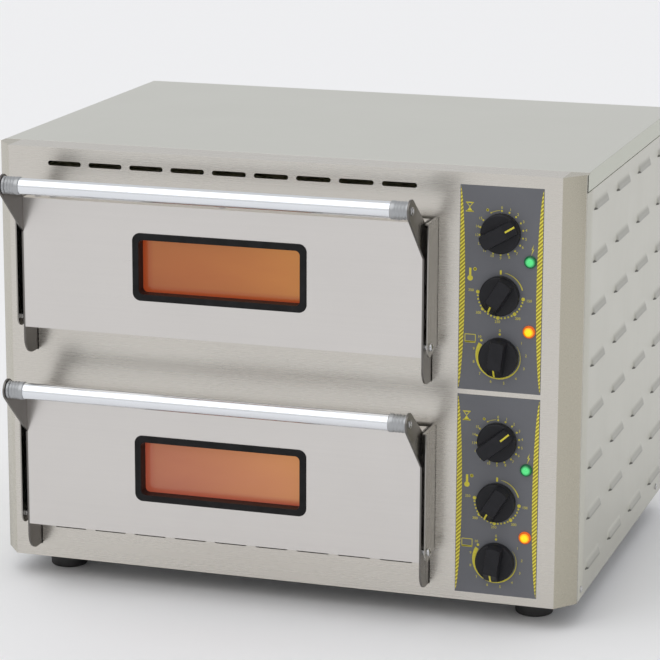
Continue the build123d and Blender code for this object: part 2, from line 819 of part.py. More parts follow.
def make_door_insulation(deck, door_z):
    """The wool slab inside the door, cut for the window and the hinge pins."""
    slab_front = door_front_depth + sheet
    slab_back = shell_back_depth - pan_sheet
    middle = (deck_centre_x, door_z + door_height / 2)
    with BuildPart() as slab:
        with BuildSketch(front_plane(slab_front)):
            with Locations(middle):
                Rectangle(door_width - 2 * sheet - 2 * fit_gap, door_height - 2 * sheet - 2 * fit_gap)
        extrude(amount=slab_front - slab_back)
        with BuildSketch(front_plane(slab_front)):
            window_sketch(sleeve_size, door_z, fit_gap)
        extrude(amount=slab_front - slab_back, mode=Mode.SUBTRACT)
        for sign in (-1, 1):
            pin_reach = pivot_reach + pivot_wool_gap
            pin_room = pivot_disc(pivot_radius + pivot_wool_gap, sign, half_door - pin_reach, door_z)
            extrude(pin_room, amount=sign * pin_reach, mode=Mode.SUBTRACT)
        with BuildSketch(Plane.XY.offset(door_z + door_height)):
            with Locations(*[(deck_centre_x + x, at_depth(top_screw_depth)) for x in top_screw_offsets]):
                Circle(screw_radius + fit_gap)
        extrude(amount=-(screw_length + sheet), mode=Mode.SUBTRACT)
    save(slab, deck + "_door_insulation")


def make_bezel(deck, door_z):
    """The dark frame round the window, with a sleeve that reaches back to the glass."""
    middle = (deck_centre_x, door_z + window_rise + window_height / 2)
    with BuildPart() as bezel:
        with BuildSketch(front_plane(door_front_depth)):
            with Locations(middle):
                RectangleRounded(window_width, window_height, window_corner)
        extrude(amount=bezel_proud)
        chamfer(bezel.faces().sort_by(Axis.Y)[0].edges(), bezel_chamfer)
        with BuildSketch(front_plane(door_front_depth)):
            window_sketch(sleeve_size, door_z)
        extrude(amount=door_front_depth - glass_depth)
        with BuildSketch(front_plane(door_front_depth - bezel_proud)):
            window_sketch(window_opening, door_z)
        extrude(amount=door_front_depth - bezel_proud - glass_depth, mode=Mode.SUBTRACT)
    save(bezel, deck + "_window_bezel")


def make_glass(deck, door_z):
    """The window pane, clamped between the bezel's sleeve and the pan's."""
    with BuildPart() as pane:
        with BuildSketch(front_plane(glass_depth)):
            window_sketch(sleeve_size, door_z)
        extrude(amount=-glass_thickness)
    save(pane, deck + "_window_glass")


def make_cheeks(deck, door_z):
    """The two side plates: gusset for the handle, pivot hole, and heel that swings into the body."""
    door_y = at_depth(door_front_depth)
    heel_y = at_depth(heel_back_depth)
    heel_z = door_z - heel_drop
    foot_z = door_z + cheek_foot_rise
    with BuildPart() as cheeks:
        for sign in (-1, 1):
            with BuildSketch(side_plane(deck_centre_x + sign * half_door)):
                plate = side_plane(deck_centre_x + sign * half_door)
                with BuildSketch(plate, mode=Mode.PRIVATE) as gusset:
                    with Locations((at_depth(handle_depth), door_z + handle_rise)):
                        Circle(cheek_tip_radius)
                    with Locations((door_y + sheet, door_z + (gusset_tip_rise + door_height) / 2)):
                        Rectangle(2 * sheet, door_height - gusset_tip_rise)
                    make_hull()
                add(gusset.sketch_local)
                plate_back = at_depth(shell_back_depth)
                with Locations(((door_y + plate_back) / 2, door_z + door_height / 2)):
                    Rectangle(plate_back - door_y, door_height)
                arc_z = heel_z + heel_radius
                with BuildLine():
                    Line((door_y, foot_z), (door_y, arc_z))
                    CenterArc((door_y + heel_radius, arc_z), heel_radius, 180, 90)
                    Line((door_y + heel_radius, heel_z), (heel_y, heel_z))
                    Line((heel_y, heel_z), (heel_y, door_z - cheek_step_drop))
                    Line((heel_y, door_z - cheek_step_drop), (plate_back, foot_z))
                    Line((plate_back, foot_z), (door_y, foot_z))
                make_face()
                with Locations((at_depth(pivot_depth), door_z + pivot_rise)):
                    Circle(pivot_radius + running_clearance, mode=Mode.SUBTRACT)
                with Locations((at_depth(handle_depth), door_z + handle_rise)):
                    Circle(screw_radius + screw_hole_gap, mode=Mode.SUBTRACT)
            extrude(amount=sign * cheek_thickness)
    save(cheeks, deck + "_door_cheeks")


def make_handle(deck, door_z):
    """The handle tube and the two ferrules that close its ends against the cheeks."""
    centre = (at_depth(handle_depth), door_z + handle_rise)
    half_tube = half_door - ferrule_length + handle_engagement
    with BuildPart() as tube:
        with BuildSketch(side_plane(deck_centre_x - half_tube)):
            with Locations(centre):
                Circle(handle_radius)
                Circle(handle_radius - handle_wall, mode=Mode.SUBTRACT)
        extrude(amount=2 * half_tube)
    save(tube, deck + "_handle_tube")
    with BuildPart() as ferrules:
        for sign in (-1, 1):
            with BuildSketch(side_plane(deck_centre_x + sign * half_door)):
                with Locations(centre):
                    Circle(ferrule_radius)
                    Circle(screw_radius, mode=Mode.SUBTRACT)
            extrude(amount=-sign * ferrule_length)
            with BuildSketch(side_plane(deck_centre_x + sign * half_tube)):
                with Locations(centre):
                    Circle(handle_radius)
            extrude(amount=-sign * ferrule_length, mode=Mode.SUBTRACT)
    save(ferrules, deck + "_handle_ferrules")


def make_door_screws(deck, door_z):
    """The handle's end screws and the small screws along the door's top edge."""
    end_planes = [
        Plane(
            origin=(deck_centre_x + sign * cheek_face, at_depth(handle_depth), door_z + handle_rise),
            z_dir=(sign, 0, 0),
        )
        for sign in (-1, 1)
    ]
    top_planes = [
        Plane(origin=(deck_centre_x + x, at_depth(top_screw_depth), door_z + door_height))
        for x in top_screw_offsets
    ]
    end_screws = [make_screw(plane, handle_screw_radius, handle_screw_length) for plane in end_planes]
    top_screws = [make_screw(plane, screw_head_radius, screw_length) for plane in top_planes]
    with BuildPart() as screws:
        add(end_screws + top_screws)
    save(screws, deck + "_door_screws")


for deck, door_z in decks.items():
    make_outer_panel(deck, door_z)
    make_inner_panel(deck, door_z)
    make_door_insulation(deck, door_z)
    make_bezel(deck, door_z)
    make_glass(deck, door_z)
    make_cheeks(deck, door_z)
    make_handle(deck, door_z)
    make_door_screws(deck, door_z)

# ---------------------------------------------------------------- hinges
with BuildPart() as hinge_brackets:
    for door_z in decks.values():
        for sign in (-1, 1):
            nose = (at_depth(pivot_depth), door_z + pivot_rise)
            bracket_y = at_depth(bracket_front_depth)
            back_y = at_depth(2 * sheet)
            top = door_z + door_height
            with BuildSketch(side_plane(deck_centre_x + sign * bracket_inner)):
                with Locations(nose):
                    Circle(bracket_nose_radius)
                with BuildLine():
                    Polyline(
                        (bracket_y, nose[1]),
                        (bracket_y, top),
                        (back_y, top),
                        (back_y, door_z + bracket_foot_rise),
                        (at_depth(0), door_z + bracket_foot_rise),
                        (nose[0], nose[1] - bracket_nose_radius),
                        (nose[0], nose[1]),
                        close=True,
                    )
                make_face()
                with Locations(nose):
                    Circle(pivot_radius, mode=Mode.SUBTRACT)
            extrude(amount=sign * bracket_thickness)
            # lip over the gap beside the door
            with BuildSketch(side_plane(deck_centre_x + sign * bracket_inner)):
                with Locations(((bracket_y + at_depth(-fit_gap)) / 2, top - bracket_thickness / 2)):
                    Rectangle(at_depth(-fit_gap) - bracket_y, bracket_thickness)
            extrude(amount=-sign * bracket_lip)
            # flange behind the fascia
            with BuildSketch(side_plane(deck_centre_x + sign * bracket_inner)):
                flange_bottom = door_z + bracket_foot_rise
                with Locations((at_depth(sheet + bracket_thickness / 2), (top + flange_bottom) / 2)):
                    Rectangle(bracket_thickness, top - flange_bottom)
            extrude(amount=sign * bracket_flange_width)
save(hinge_brackets, "hinge_brackets")

with BuildPart() as pivot_screws:
    for door_z in decks.values():
        for sign in (-1, 1):
            for inner_x, length, radius in (
                (half_door - pivot_reach, bracket_outer - half_door + pivot_reach, pivot_radius),
                (bracket_inner - pivot_nut_height, pivot_nut_height, pivot_nut_radius),
                (bracket_outer, pivot_head_height, pivot_head_radius),
            ):
                with BuildSketch(side_plane(deck_centre_x + sign * inner_x)):
                    with Locations((at_depth(pivot_depth), door_z + pivot_rise)):
                        Circle(radius)
                extrude(amount=sign * length)
save(pivot_screws, "pivot_screws")


# ---------------------------------------------------------------- controls
def make_label(deck):
    """The dark plate behind a deck's knobs."""
    with BuildPart() as label:
        with BuildSketch(front_plane(0)):
            with Locations((control_x, body_z + lower_label_height + deck_shift(deck) + label_height / 2)):
                Rectangle(label_width, label_height)
            for height in lower_control_heights.values():
                with Locations((control_x, body_z + height + deck_shift(deck))):
                    Circle(bushing_radius + bushing_hole_gap, mode=Mode.SUBTRACT)
            for height in lower_pilot_heights.values():
                with Locations((pilot_x, body_z + height + deck_shift(deck))):
                    Circle(pilot_body_radius + pilot_hole_gap, mode=Mode.SUBTRACT)
        extrude(amount=label_thickness)
    save(label, deck + "_control_label")


def make_switches(kind):
    """The two switch bodies of one kind, each with a bushing that the spindle runs in."""
    width, height, depth = control_boxes[kind]
    with BuildPart() as switches:
        for deck, place_kind, control_z in control_places():
            if place_kind != kind:
                continue
            with BuildSketch(front_plane(sheet)):
                with Locations((control_x, control_z)):
                    RectangleRounded(width, height, control_box_corner)
            extrude(amount=-depth)
            with BuildSketch(front_plane(sheet)):
                with Locations((control_x, control_z)):
                    Circle(bushing_radius)
            extrude(amount=sheet + label_thickness)
            with BuildSketch(front_plane(-label_thickness)):
                with Locations((control_x, control_z)):
                    Circle(shaft_radius + running_clearance)
            extrude(amount=-(label_thickness + shaft_reach + shaft_end_gap), mode=Mode.SUBTRACT)
    save(switches, kind + "s")


def make_pilots(colour):
    """Two pilot lamps: a domed lens on a body that passes through the fascia."""
    with BuildPart() as pilots:
        for pilot_z in pilot_places(colour):
            with BuildSketch(front_plane(-label_thickness)):
                with Locations((pilot_x, pilot_z)):
                    Circle(pilot_lens_radius)
            extrude(amount=pilot_rim)
            with BuildSketch(front_plane(-label_thickness - pilot_rim)):
                with Locations((pilot_x, pilot_z)):
                    Circle(pilot_lens_radius - pilot_dome_inset)
            extrude(amount=pilot_dome, taper=dome_taper)
            with BuildSketch(front_plane(-label_thickness)):
                with Locations((pilot_x, pilot_z)):
                    Circle(pilot_body_radius)
            extrude(amount=-(label_thickness + sheet + pilot_body_length))
    save(pilots, colour + "_pilot_lamps")


def make_knob(deck, kind, control_z):
    """A round knob with a grip bar across it, turned to the angle the oven is set to."""
    back_depth = -label_thickness - knob_gap
    angle = knob_angles[(deck, kind)]
    turn = radians(angle)
    top = knob_skirt + knob_grip_height
    # sketch plane through the axis: local X runs to the pointer end, local Y to the front
    lengthwise = Plane(
        origin=(control_x, at_depth(back_depth), control_z),
        x_dir=(sin(turn), 0, cos(turn)),
        z_dir=(cos(turn), 0, -sin(turn)),
    )
    with BuildPart() as knob:
        with BuildSketch(front_plane(back_depth)):
            with Locations((control_x, control_z)):
                Circle(knob_radius)
        extrude(amount=knob_skirt)
        fillet(knob.edges().filter_by(GeomType.CIRCLE).sort_by(Axis.Y)[0], knob_skirt_fillet)
        with BuildSketch(front_plane(back_depth - knob_skirt + sheet)):
            with Locations((control_x, control_z)):
                RectangleRounded(knob_grip_width, knob_grip_length, knob_grip_corner, rotation=-angle)
        extrude(amount=knob_grip_height + sheet, taper=knob_grip_taper)
        fillet(knob.faces().sort_by(Axis.Y)[0].edges(), knob_grip_fillet)
        with BuildSketch(lengthwise):
            with BuildLine():
                Polyline(
                    (knob_slope_start, top),
                    (knob_slope_end, knob_skirt + knob_slope_foot),
                    (knob_radius + past, knob_skirt + knob_slope_foot),
                    (knob_radius + past, top + past),
                    (knob_slope_start, top + past),
                    close=True,
                )
            make_face()
        extrude(amount=knob_radius, both=True, mode=Mode.SUBTRACT)
        with BuildSketch(front_plane(back_depth)):
            with Locations((control_x, control_z)):
                Circle(shaft_radius)
        extrude(amount=knob_bore_depth, mode=Mode.SUBTRACT)
    save(knob, deck + "_" + kind + "_knob")


def make_spindle(deck, kind, control_z):
    """The steel spindle that a knob is pressed on."""
    tip_depth = -label_thickness - knob_gap - knob_bore_depth + shaft_end_gap
    with BuildPart() as spindle:
        with BuildSketch(front_plane(tip_depth)):
            with Locations((control_x, control_z)):
                Circle(shaft_radius)
        extrude(amount=tip_depth - shaft_reach)
    save(spindle, deck + "_" + kind + "_spindle")


for deck in decks:
    make_label(deck)
for kind in control_boxes:
    make_switches(kind)
for colour in lower_pilot_heights:
    make_pilots(colour)
for deck, kind, control_z in control_places():
    make_knob(deck, kind, control_z)
    make_spindle(deck, kind, control_z)

# ---------------------------------------------------------------- cable entry and terminals
with BuildPart() as cable_gland:
    gland_place = (gland_x, body_z + gland_height)
    collar_depth = back_face_depth + gland_collar
    tip_depth = body_depth + gland_reach
    with BuildSketch(front_plane(back_face_depth)):
        with Locations(gland_place):
            RegularPolygon(gland_body_radius, 6)
    extrude(amount=-gland_collar)
    with BuildSketch(front_plane(collar_depth)):
        with Locations(gland_place):
            Circle(gland_body_radius - gland_nose_inset)
    extrude(amount=collar_depth - tip_depth, taper=gland_taper)
    with BuildSketch(front_plane(back_face_depth)):
        with Locations(gland_place):
            Circle(gland_thread_radius)
    extrude(amount=sheet + gland_thread_length)
    with BuildSketch(front_plane(back_face_depth - sheet)):
        with Locations(gland_place):
            RegularPolygon(gland_body_radius, 6)
    extrude(amount=gland_nut)
    with BuildSketch(front_plane(back_face_depth - 2 * gland_reach)):
        with Locations(gland_place):
            Circle(gland_bore_radius)
    extrude(amount=-4 * gland_reach, mode=Mode.SUBTRACT)
save(cable_gland, "cable_gland")

with BuildPart() as terminal_block:
    terminal_place = (gland_x, body_z + terminal_height)
    block_width, block_height, block_depth = terminal_size
    with BuildSketch(front_plane(inner_back_depth)):
        with Locations(terminal_place):
            Rectangle(block_width, block_height)
    extrude(amount=block_depth)
    with BuildSketch(front_plane(inner_back_depth - block_depth)):
        with Locations(terminal_place):
            with GridLocations(terminal_pitch, terminal_pitch, terminal_columns, terminal_rows):
                Circle(terminal_hole_radius)
    extrude(amount=-terminal_hole_depth, mode=Mode.SUBTRACT)
save(terminal_block, "terminal_block")
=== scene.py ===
import itertools
import math
from contextlib import contextmanager

import bmesh
import bpy
import numpy as np
from bpy.props import FloatProperty, FloatVectorProperty, IntProperty, PointerProperty
from bpy.types import Operator, Panel, PropertyGroup
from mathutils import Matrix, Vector


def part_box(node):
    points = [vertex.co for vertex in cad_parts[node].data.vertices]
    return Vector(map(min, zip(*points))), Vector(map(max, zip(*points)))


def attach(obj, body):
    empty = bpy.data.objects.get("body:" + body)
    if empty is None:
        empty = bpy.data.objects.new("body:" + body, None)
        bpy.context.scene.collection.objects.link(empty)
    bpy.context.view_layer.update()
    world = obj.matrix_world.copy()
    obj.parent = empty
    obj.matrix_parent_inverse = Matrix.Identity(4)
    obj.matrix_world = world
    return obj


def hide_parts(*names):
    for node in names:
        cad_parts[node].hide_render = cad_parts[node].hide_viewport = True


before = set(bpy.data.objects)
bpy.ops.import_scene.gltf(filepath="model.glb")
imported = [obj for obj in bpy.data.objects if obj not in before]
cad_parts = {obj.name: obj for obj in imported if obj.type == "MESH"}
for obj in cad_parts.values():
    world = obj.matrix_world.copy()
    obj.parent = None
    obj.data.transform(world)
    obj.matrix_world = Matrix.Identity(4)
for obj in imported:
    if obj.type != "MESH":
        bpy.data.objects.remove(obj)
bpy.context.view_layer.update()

bl_info = {
    "name": "Double-deck pizza oven",
    "version": (1, 0, 0),
    "blender": (4, 5, 0),
    "location": "View3D > Sidebar > Pizza Oven",
    "description": "Builds the visible sheets, doors, dials and finishes of a countertop pizza oven",
    "category": "Add Mesh",
}

DECKS = ("upper", "lower")
DIALS = ("timer", "thermostat", "regulator")
CABINET = "cabinet"
SHARP = 35.0  # degrees: a turned piece's edges look sharp past this


# ------------------------------------------------------------------ places
def low(node):
    """Lowest corner of a CAD node."""
    return np.array(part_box(node)[0])


def high(node):
    """Highest corner of a CAD node."""
    return np.array(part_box(node)[1])


def middle(node):
    """Centre of a CAD node's box."""
    return (low(node) + high(node)) / 2


LABEL_FACE = low("upper_control_label")[1]
SIDE_FACE = high("top_cover")[0]
PANEL_TOP = low("top_cover")[2] - 0.001
FASCIA_FACE = high("upper_control_label")[1]
CORNER_FOLD = SIDE_FACE - 0.0198
BAND_FOLD = SIDE_FACE - 0.0004
# Y behind which the fascia's flange is painted near black as the shade in the seam's gap
SEAM_Y = FASCIA_FACE + 0.028
LOUVRE_Y = FASCIA_FACE + 0.097 + 0.114 * np.arange(4)
LOUVRE_Z = 0.055 + 0.0575 * np.arange(8)
SMALL_SCREW = (0.0038, 0.007)  # head radius and length
HANDLE_SCREW = (0.0046, 0.011)
SCREW_SHANK = 0.0017
TUBE_WALL = 0.002
PIVOT_REACH = 0.027
PIVOT_RISE = 0.0109
PILOT_RADIUS = 0.0068
KNOB_RADIUS = 0.0214
SIDE_SCREW_DEPTHS = (0.043, 0.457)
SIDE_SCREW_HEIGHT = 0.039
BACK_SCREW_HEIGHTS = (0.041, 0.471)
LAP_GAP = 0.0003
TONGUE_DEPTH = 0.053
TONGUE_LAP = 0.012
DIAL_SET = {
    ("upper", "timer"): 60.0,
    ("upper", "thermostat"): 212.0,
    ("upper", "regulator"): 187.0,
    ("lower", "timer"): 51.0,
    ("lower", "thermostat"): 212.0,
    ("lower", "regulator"): 187.0,
}


def dial_centre(deck, kind):
    """World X and Z of a dial's axis, from its spindle."""
    centre = middle(f"{deck}_{kind}_spindle")
    return centre[0], centre[2]


# ------------------------------------------------------------------ settings
def length_setting(name, description, default):
    """A length in metres for the settings panel."""
    return FloatProperty(name=name, description=description, default=default, unit="LENGTH")


def colour_setting(name, description, default):
    """A base colour for the settings panel."""
    return FloatVectorProperty(name=name, description=description, default=default, subtype="COLOR")


class OvenSheetSettings(PropertyGroup):
    fold_radius: length_setting("Fold radius", "Rounding on the folded edges of the panels", 0.0009)
    edge_radius: length_setting("Edge radius", "Rounding on cut edges of thin plates", 0.0004)
    louvre_proud: length_setting(
        "Louvre height", "How far a louvre's lip stands out of the side panel", 0.003
    )
    louvre_length: length_setting("Louvre length", "Length of a louvre along the side panel", 0.072)
    louvre_lip: length_setting("Lip length", "Straight part of a louvre's open lip", 0.056)
    louvre_rise: length_setting(
        "Louvre rise", "Height over which a louvre bulges out above its slit", 0.0125
    )
    sheet: length_setting("Sheet thickness", "Thickness of the body panels", 0.0012)


class OvenDialSettings(PropertyGroup):
    skirt_height: length_setting("Skirt height", "Height of a knob's round skirt", 0.008)
    grip_width: length_setting("Grip width", "Width of the bar across a knob", 0.0165)
    grip_height: length_setting("Grip height", "Height of a knob's bar above its skirt", 0.0128)
    print_height: length_setting(
        "Print thickness", "Thickness of the printed marks on the labels", 0.00006
    )
    figure_size: length_setting("Figure size", "Height of the figures round the dials", 0.0041)
    turns: IntProperty(
        name="Knob divisions",
        description="Divisions round a knob",
        default=180,
        min=24,
    )


class OvenFinishSettings(PropertyGroup):
    fascia_colour: colour_setting("Fascia", "Base colour of the brushed fascia", (0.63, 0.6, 0.55))
    # painted shade: darker than the fascia, to stand for the dimmer light on the slanted corners
    corner_colour: colour_setting(
        "Slanted corners", "Base colour of the fascia's slanted corners", (0.48, 0.45, 0.37)
    )
    # painted shade: darker than the cover, to stand for the dimmer light on its folded side bands
    band_colour: colour_setting(
        "Cover's side bands", "Base colour of the top cover's folded sides", (0.52, 0.53, 0.45)
    )
    cover_colour: colour_setting("Cover", "Base colour of the top cover", (0.7, 0.7, 0.645))
    side_colour: colour_setting(
        "Side panels", "Base colour of the satin side panels", (0.56, 0.55, 0.49)
    )
    door_colour: colour_setting("Doors", "Base colour of the door shells", (0.67, 0.645, 0.62))
    # partly the plain steel's own tone, partly painted dark reflection: darkened to stand for the dark
    # reflections on the brackets' faces
    plate_colour: colour_setting(
        "Plates", "Base colour of hinge brackets and door pans", (0.34, 0.325, 0.3)
    )
    # painted dark reflection: the door side plates are kept very dark to stand for the dark reflections
    # their faces show
    cheek_colour: colour_setting(
        "Door side plates", "Base colour of the plates at the ends of the doors", (0.17, 0.16, 0.15)
    )
    handle_colour: colour_setting("Handle", "Base colour of the anodised handle", (0.82, 0.84, 0.87))
    knob_colour: colour_setting("Knobs", "Base colour of the knobs", (0.01, 0.01, 0.012))
    label_colour: colour_setting("Labels", "Base colour of the control labels", (0.115, 0.118, 0.13))
    print_colour: colour_setting("Print", "Colour of the printed marks", (0.68, 0.6, 0.04))
    glow_colour: colour_setting(
        "Window glow", "Colour of the light behind the windows", (0.55, 0.16, 0.045)
    )


class OvenStudioSettings(PropertyGroup):
    floor_colour: colour_setting("Floor", "Colour of the pale floor", (0.9, 0.9, 0.91))
    dome_strength: FloatProperty(
        name="Dome strength",
        description="Strength of the soft light from all round",
        default=0.72,
    )
    key_strength: FloatProperty(
        name="Key light",
        description="Strength of the wide light above the front",
        default=1.0,
    )
    lens: FloatProperty(
        name="Focal length",
        description="Focal length of the camera in millimetres",
        default=155.844,
    )


# ------------------------------------------------------------------ mesh helpers
def grid_faces(rows, columns, closed_rows=False, closed_columns=False):
    """Quads of a grid of points numbered row by row, optionally closed either way."""
    i = np.arange(rows if closed_rows else rows - 1)
    j = np.arange(columns if closed_columns else columns - 1)
    i, j = [part.ravel() for part in np.meshgrid(i, j, indexing="ij")]
    after, beside = (i + 1) % rows, (j + 1) % columns
    corners = (i * columns + j, i * columns + beside, after * columns + beside, after * columns + j)
    return np.stack(corners, axis=1)


def joined(surfaces):
    """Several (points, faces) pairs as one, with the faces renumbered."""
    points, faces, count = [], [], 0
    for surface_points, surface_faces in surfaces:
        points.append(np.asarray(surface_points, float).reshape(-1, 3))
        faces.extend([[int(index) + count for index in face] for face in surface_faces])
        count += len(points[-1])
    return np.concatenate(points), faces


@contextmanager
def editing(mesh):
    """A mesh opened for editing and then written back."""
    edit = bmesh.new()
    edit.from_mesh(mesh)
    yield edit
    edit.to_mesh(mesh)
    edit.free()


def linked(name, data):
    """A new object in the scene."""
    made = bpy.data.objects.new(name, data)
    bpy.context.scene.collection.objects.link(made)
    return made


def raw_mesh(name, surfaces):
    """A mesh straight from (points, faces) surfaces."""
    points, faces = joined(surfaces)
    mesh = bpy.data.meshes.new(name)
    mesh.from_pydata(points.tolist(), [], faces)
    return mesh


def mesh_points(mesh):
    """A mesh's points as rows of X, Y and Z."""
    points = np.zeros(len(mesh.vertices) * 3)
    mesh.vertices.foreach_get("co", points)
    return points.reshape(-1, 3)


def mesh_object(name, surfaces, weld=1e-6, flat=False):
    """An object from (points, faces) surfaces, with its doubles merged and its faces outwards."""
    mesh = raw_mesh(name, surfaces)
    with editing(mesh) as edit:
        bmesh.ops.remove_doubles(edit, verts=edit.verts, dist=weld)
        bmesh.ops.dissolve_degenerate(edit, edges=edit.edges, dist=weld)
        bmesh.ops.recalc_face_normals(edit, faces=edit.faces)
    mesh.shade_flat() if flat else mesh.shade_smooth()
    return linked(name, mesh)


def sharp_edges(piece, degrees):
    """Marks the edges that turn more than an angle as sharp, on a smooth mesh."""
    limit = math.radians(degrees)
    with editing(piece.data) as edit:
        for edge in edit.edges:
            edge.smooth = len(edge.link_faces) != 2 or edge.calc_face_angle(0.0) < limit


def across_axis(axis):
    """Two directions square to an axis and to each other."""
    side = np.array([0.0, 0.0, 1.0]) if abs(axis[2]) < 0.5 else np.array([1.0, 0.0, 0.0])
    return side, np.cross(axis, side)


def turned(profile, centre, axis, divisions=64, start=0.0):
    """A profile of (radius, distance) pairs carried round an axis through centre.
    Point (i, j) = centre + axis * distance_i + radius_i * (cos angle_j, sin angle_j) across the axis."""
    profile = np.asarray(profile, float)
    axis = np.asarray(axis, float)
    side, other = across_axis(axis)
    angle = np.linspace(0, 2 * np.pi, divisions, endpoint=False) + start
    ring = np.cos(angle)[:, None] * side + np.sin(angle)[:, None] * other
    points = (
        np.asarray(centre, float)
        + profile[:, None, 1:2] * axis
        + profile[:, None, 0:1] * ring[None, :, :]
    )
    return points, grid_faces(len(profile), divisions, closed_columns=True)


def prism(outline, front, back):
    """A flat outline of (x, z) pairs given thickness from one world Y to another.
    The outline's points at Y = front, the same points at Y = back, and quads between them."""
    outline = np.asarray(outline, float)
    count = len(outline)
    flat = np.zeros((2, count, 3))
    flat[:, :, 0] = outline[:, 0]
    flat[:, :, 2] = outline[:, 1]
    flat[0, :, 1] = front
    flat[1, :, 1] = back
    faces = [list(range(count)), list(range(2 * count - 1, count - 1, -1))]
    faces += grid_faces(2, count, closed_columns=True).tolist()
    return flat, faces


def finish_piece(piece, body, nodes=()):
    """Parents a finished piece to its CAD body and hides the CAD nodes it stands for."""
    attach(piece, body)
    if nodes:
        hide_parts(*nodes)
    return piece


def made_piece(name, surfaces, body, material, nodes=(), sharp=None, weld=1e-6):
    """A finished piece from surfaces: smooth with edges sharp past an angle, or flat without one."""
    piece = mesh_object(name, surfaces, weld, flat=sharp is None)
    if sharp is not None:
        sharp_edges(piece, sharp)
    piece.data.materials.append(material)
    return finish_piece(piece, body, nodes)


def softened(node, name, body, radius, material, segments=2, degrees=25.0):
    """A copy of a CAD node with its triangles merged into clean faces and its edges rounded."""
    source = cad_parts[node]
    mesh = source.data.copy()
    mesh.name = name
    flat = math.radians(0.5)
    with editing(mesh) as edit:
        bmesh.ops.remove_doubles(edit, verts=edit.verts, dist=2e-6)
        bmesh.ops.dissolve_limit(
            edit, angle_limit=flat, verts=edit.verts, edges=edit.edges, delimit={"NORMAL"}
        )
        bmesh.ops.recalc_face_normals(edit, faces=edit.faces)
    for attribute in ("custom_normal", "sharp_edge", "sharp_face"):
        if attribute in mesh.attributes:
            mesh.attributes.remove(mesh.attributes[attribute])
    mesh.shade_smooth()
    mesh.materials.clear()
    mesh.materials.append(material)
    piece = linked(name, mesh)
    sharp_edges(piece, 40.0)
    bevel = piece.modifiers.new("Rounded edges", "BEVEL")
    bevel.width = radius
    bevel.segments = segments
    bevel.limit_method = "ANGLE"
    bevel.angle_limit = math.radians(degrees)
    bevel.harden_normals = False
    return finish_piece(piece, body, [node])


# ------------------------------------------------------------------ shader helpers
def tinted(colour, *factors):
    """A colour times one factor, or times one for each of its parts, held to 1."""
    factors = factors * 3 if len(factors) == 1 else factors
    return tuple(min(part * factor, 1.0) for part, factor in zip(colour, factors))


class Shader:
    """One material's nodes, added by type with their inputs given as values or sockets."""

    def __init__(self, name):
        self.material = bpy.data.materials.new(name)
        self.material.use_nodes = True
        self.tree = self.material.node_tree
        self.principled = self.tree.nodes["Principled BSDF"]

    def node(self, kind, inputs=None, **settings):
        """A node with its settings and its inputs."""
        return add_node(self.tree, kind, inputs, **settings)

    def place(self, scale=(1, 1, 1), turn=(0, 0, 0), shift=(0, 0, 0)):
        """Object coordinates, scaled, turned and moved."""
        coordinates = self.node("ShaderNodeTexCoord").outputs["Object"]
        inputs = {"Vector": coordinates, "Scale": scale, "Rotation": turn, "Location": shift}
        return self.node("ShaderNodeMapping", inputs).outputs["Vector"]

    def group(self, tree, **inputs):
        """A shared group with this material's own values."""
        found = self.tree.nodes.new("ShaderNodeGroup")
        found.node_tree = tree
        for name, value in inputs.items():
            connect(self.tree, value, found.inputs[name.replace("_", " ")])
        return found

    def bump(self, height, distance, strength=1.0):
        """Feeds a height into the surface normal."""
        inputs = {"Height": height, "Distance": distance, "Strength": strength}
        self.feed("Normal", self.node("ShaderNodeBump", inputs).outputs["Normal"])

    def feed(self, name, value):
        """Sets or links one input of the Principled shader."""
        connect(self.tree, value, self.principled.inputs[name])
        return self


def connect(tree, value, socket):
    """Links a socket, or sets a value, padding a colour with its alpha."""
    if isinstance(value, bpy.types.NodeSocket):
        tree.links.new(value, socket)
    elif hasattr(value, "__len__") and len(socket.default_value) == len(value) + 1:
        socket.default_value = (*value, 1.0)
    else:
        socket.default_value = value


def add_node(tree, kind, inputs=None, **settings):
    """Adds a node to a tree, by its inputs' names or numbers."""
    made = tree.nodes.new(kind)
    for name, value in settings.items():
        setattr(made, name, value)
    for name, value in (inputs or {}).items():
        connect(tree, value, made.inputs[name])
    return made


def maths(tree, operation, first, second=0.0):
    """The result of one Math node."""
    return add_node(tree, "ShaderNodeMath", {0: first, 1: second}, operation=operation).outputs[0]


def remap(tree, value, low_in, high_in, low_out, high_out):
    """A value moved from one range to another and held inside it."""
    inputs = {0: value, 1: low_in, 2: high_in, 3: low_out, 4: high_out}
    return add_node(tree, "ShaderNodeMapRange", inputs).outputs[0]


def blend_colours(tree, share, first, second, how="MIX"):
    """Two colours mixed by a share."""
    mixer = tree.nodes.new("ShaderNodeMix")
    mixer.data_type = "RGBA"
    mixer.blend_type = how
    connect(tree, share, mixer.inputs[0])
    connect(tree, first, mixer.inputs[6])
    connect(tree, second, mixer.inputs[7])
    return mixer.outputs[2]


def new_group(name, inputs, outputs):
    """A shader node group with its sockets: inputs of (name, type, default), outputs of (name, type)."""
    tree = bpy.data.node_groups.new(name, "ShaderNodeTree")
    for title, kind, default in inputs:
        socket = tree.interface.new_socket(title, in_out="INPUT", socket_type=kind)
        if default is not None:
            socket.default_value = default
    for title, kind in outputs:
        tree.interface.new_socket(title, in_out="OUTPUT", socket_type=kind)
    return tree, tree.nodes.new("NodeGroupInput").outputs, tree.nodes.new("NodeGroupOutput").inputs


def noise(tree, vector, scale, detail=3.0, roughness=0.5):
    """The value of a noise texture."""
    inputs = {"Vector": vector, "Scale": scale, "Detail": detail, "Roughness": roughness}
    return add_node(tree, "ShaderNodeTexNoise", inputs).outputs["Fac"]


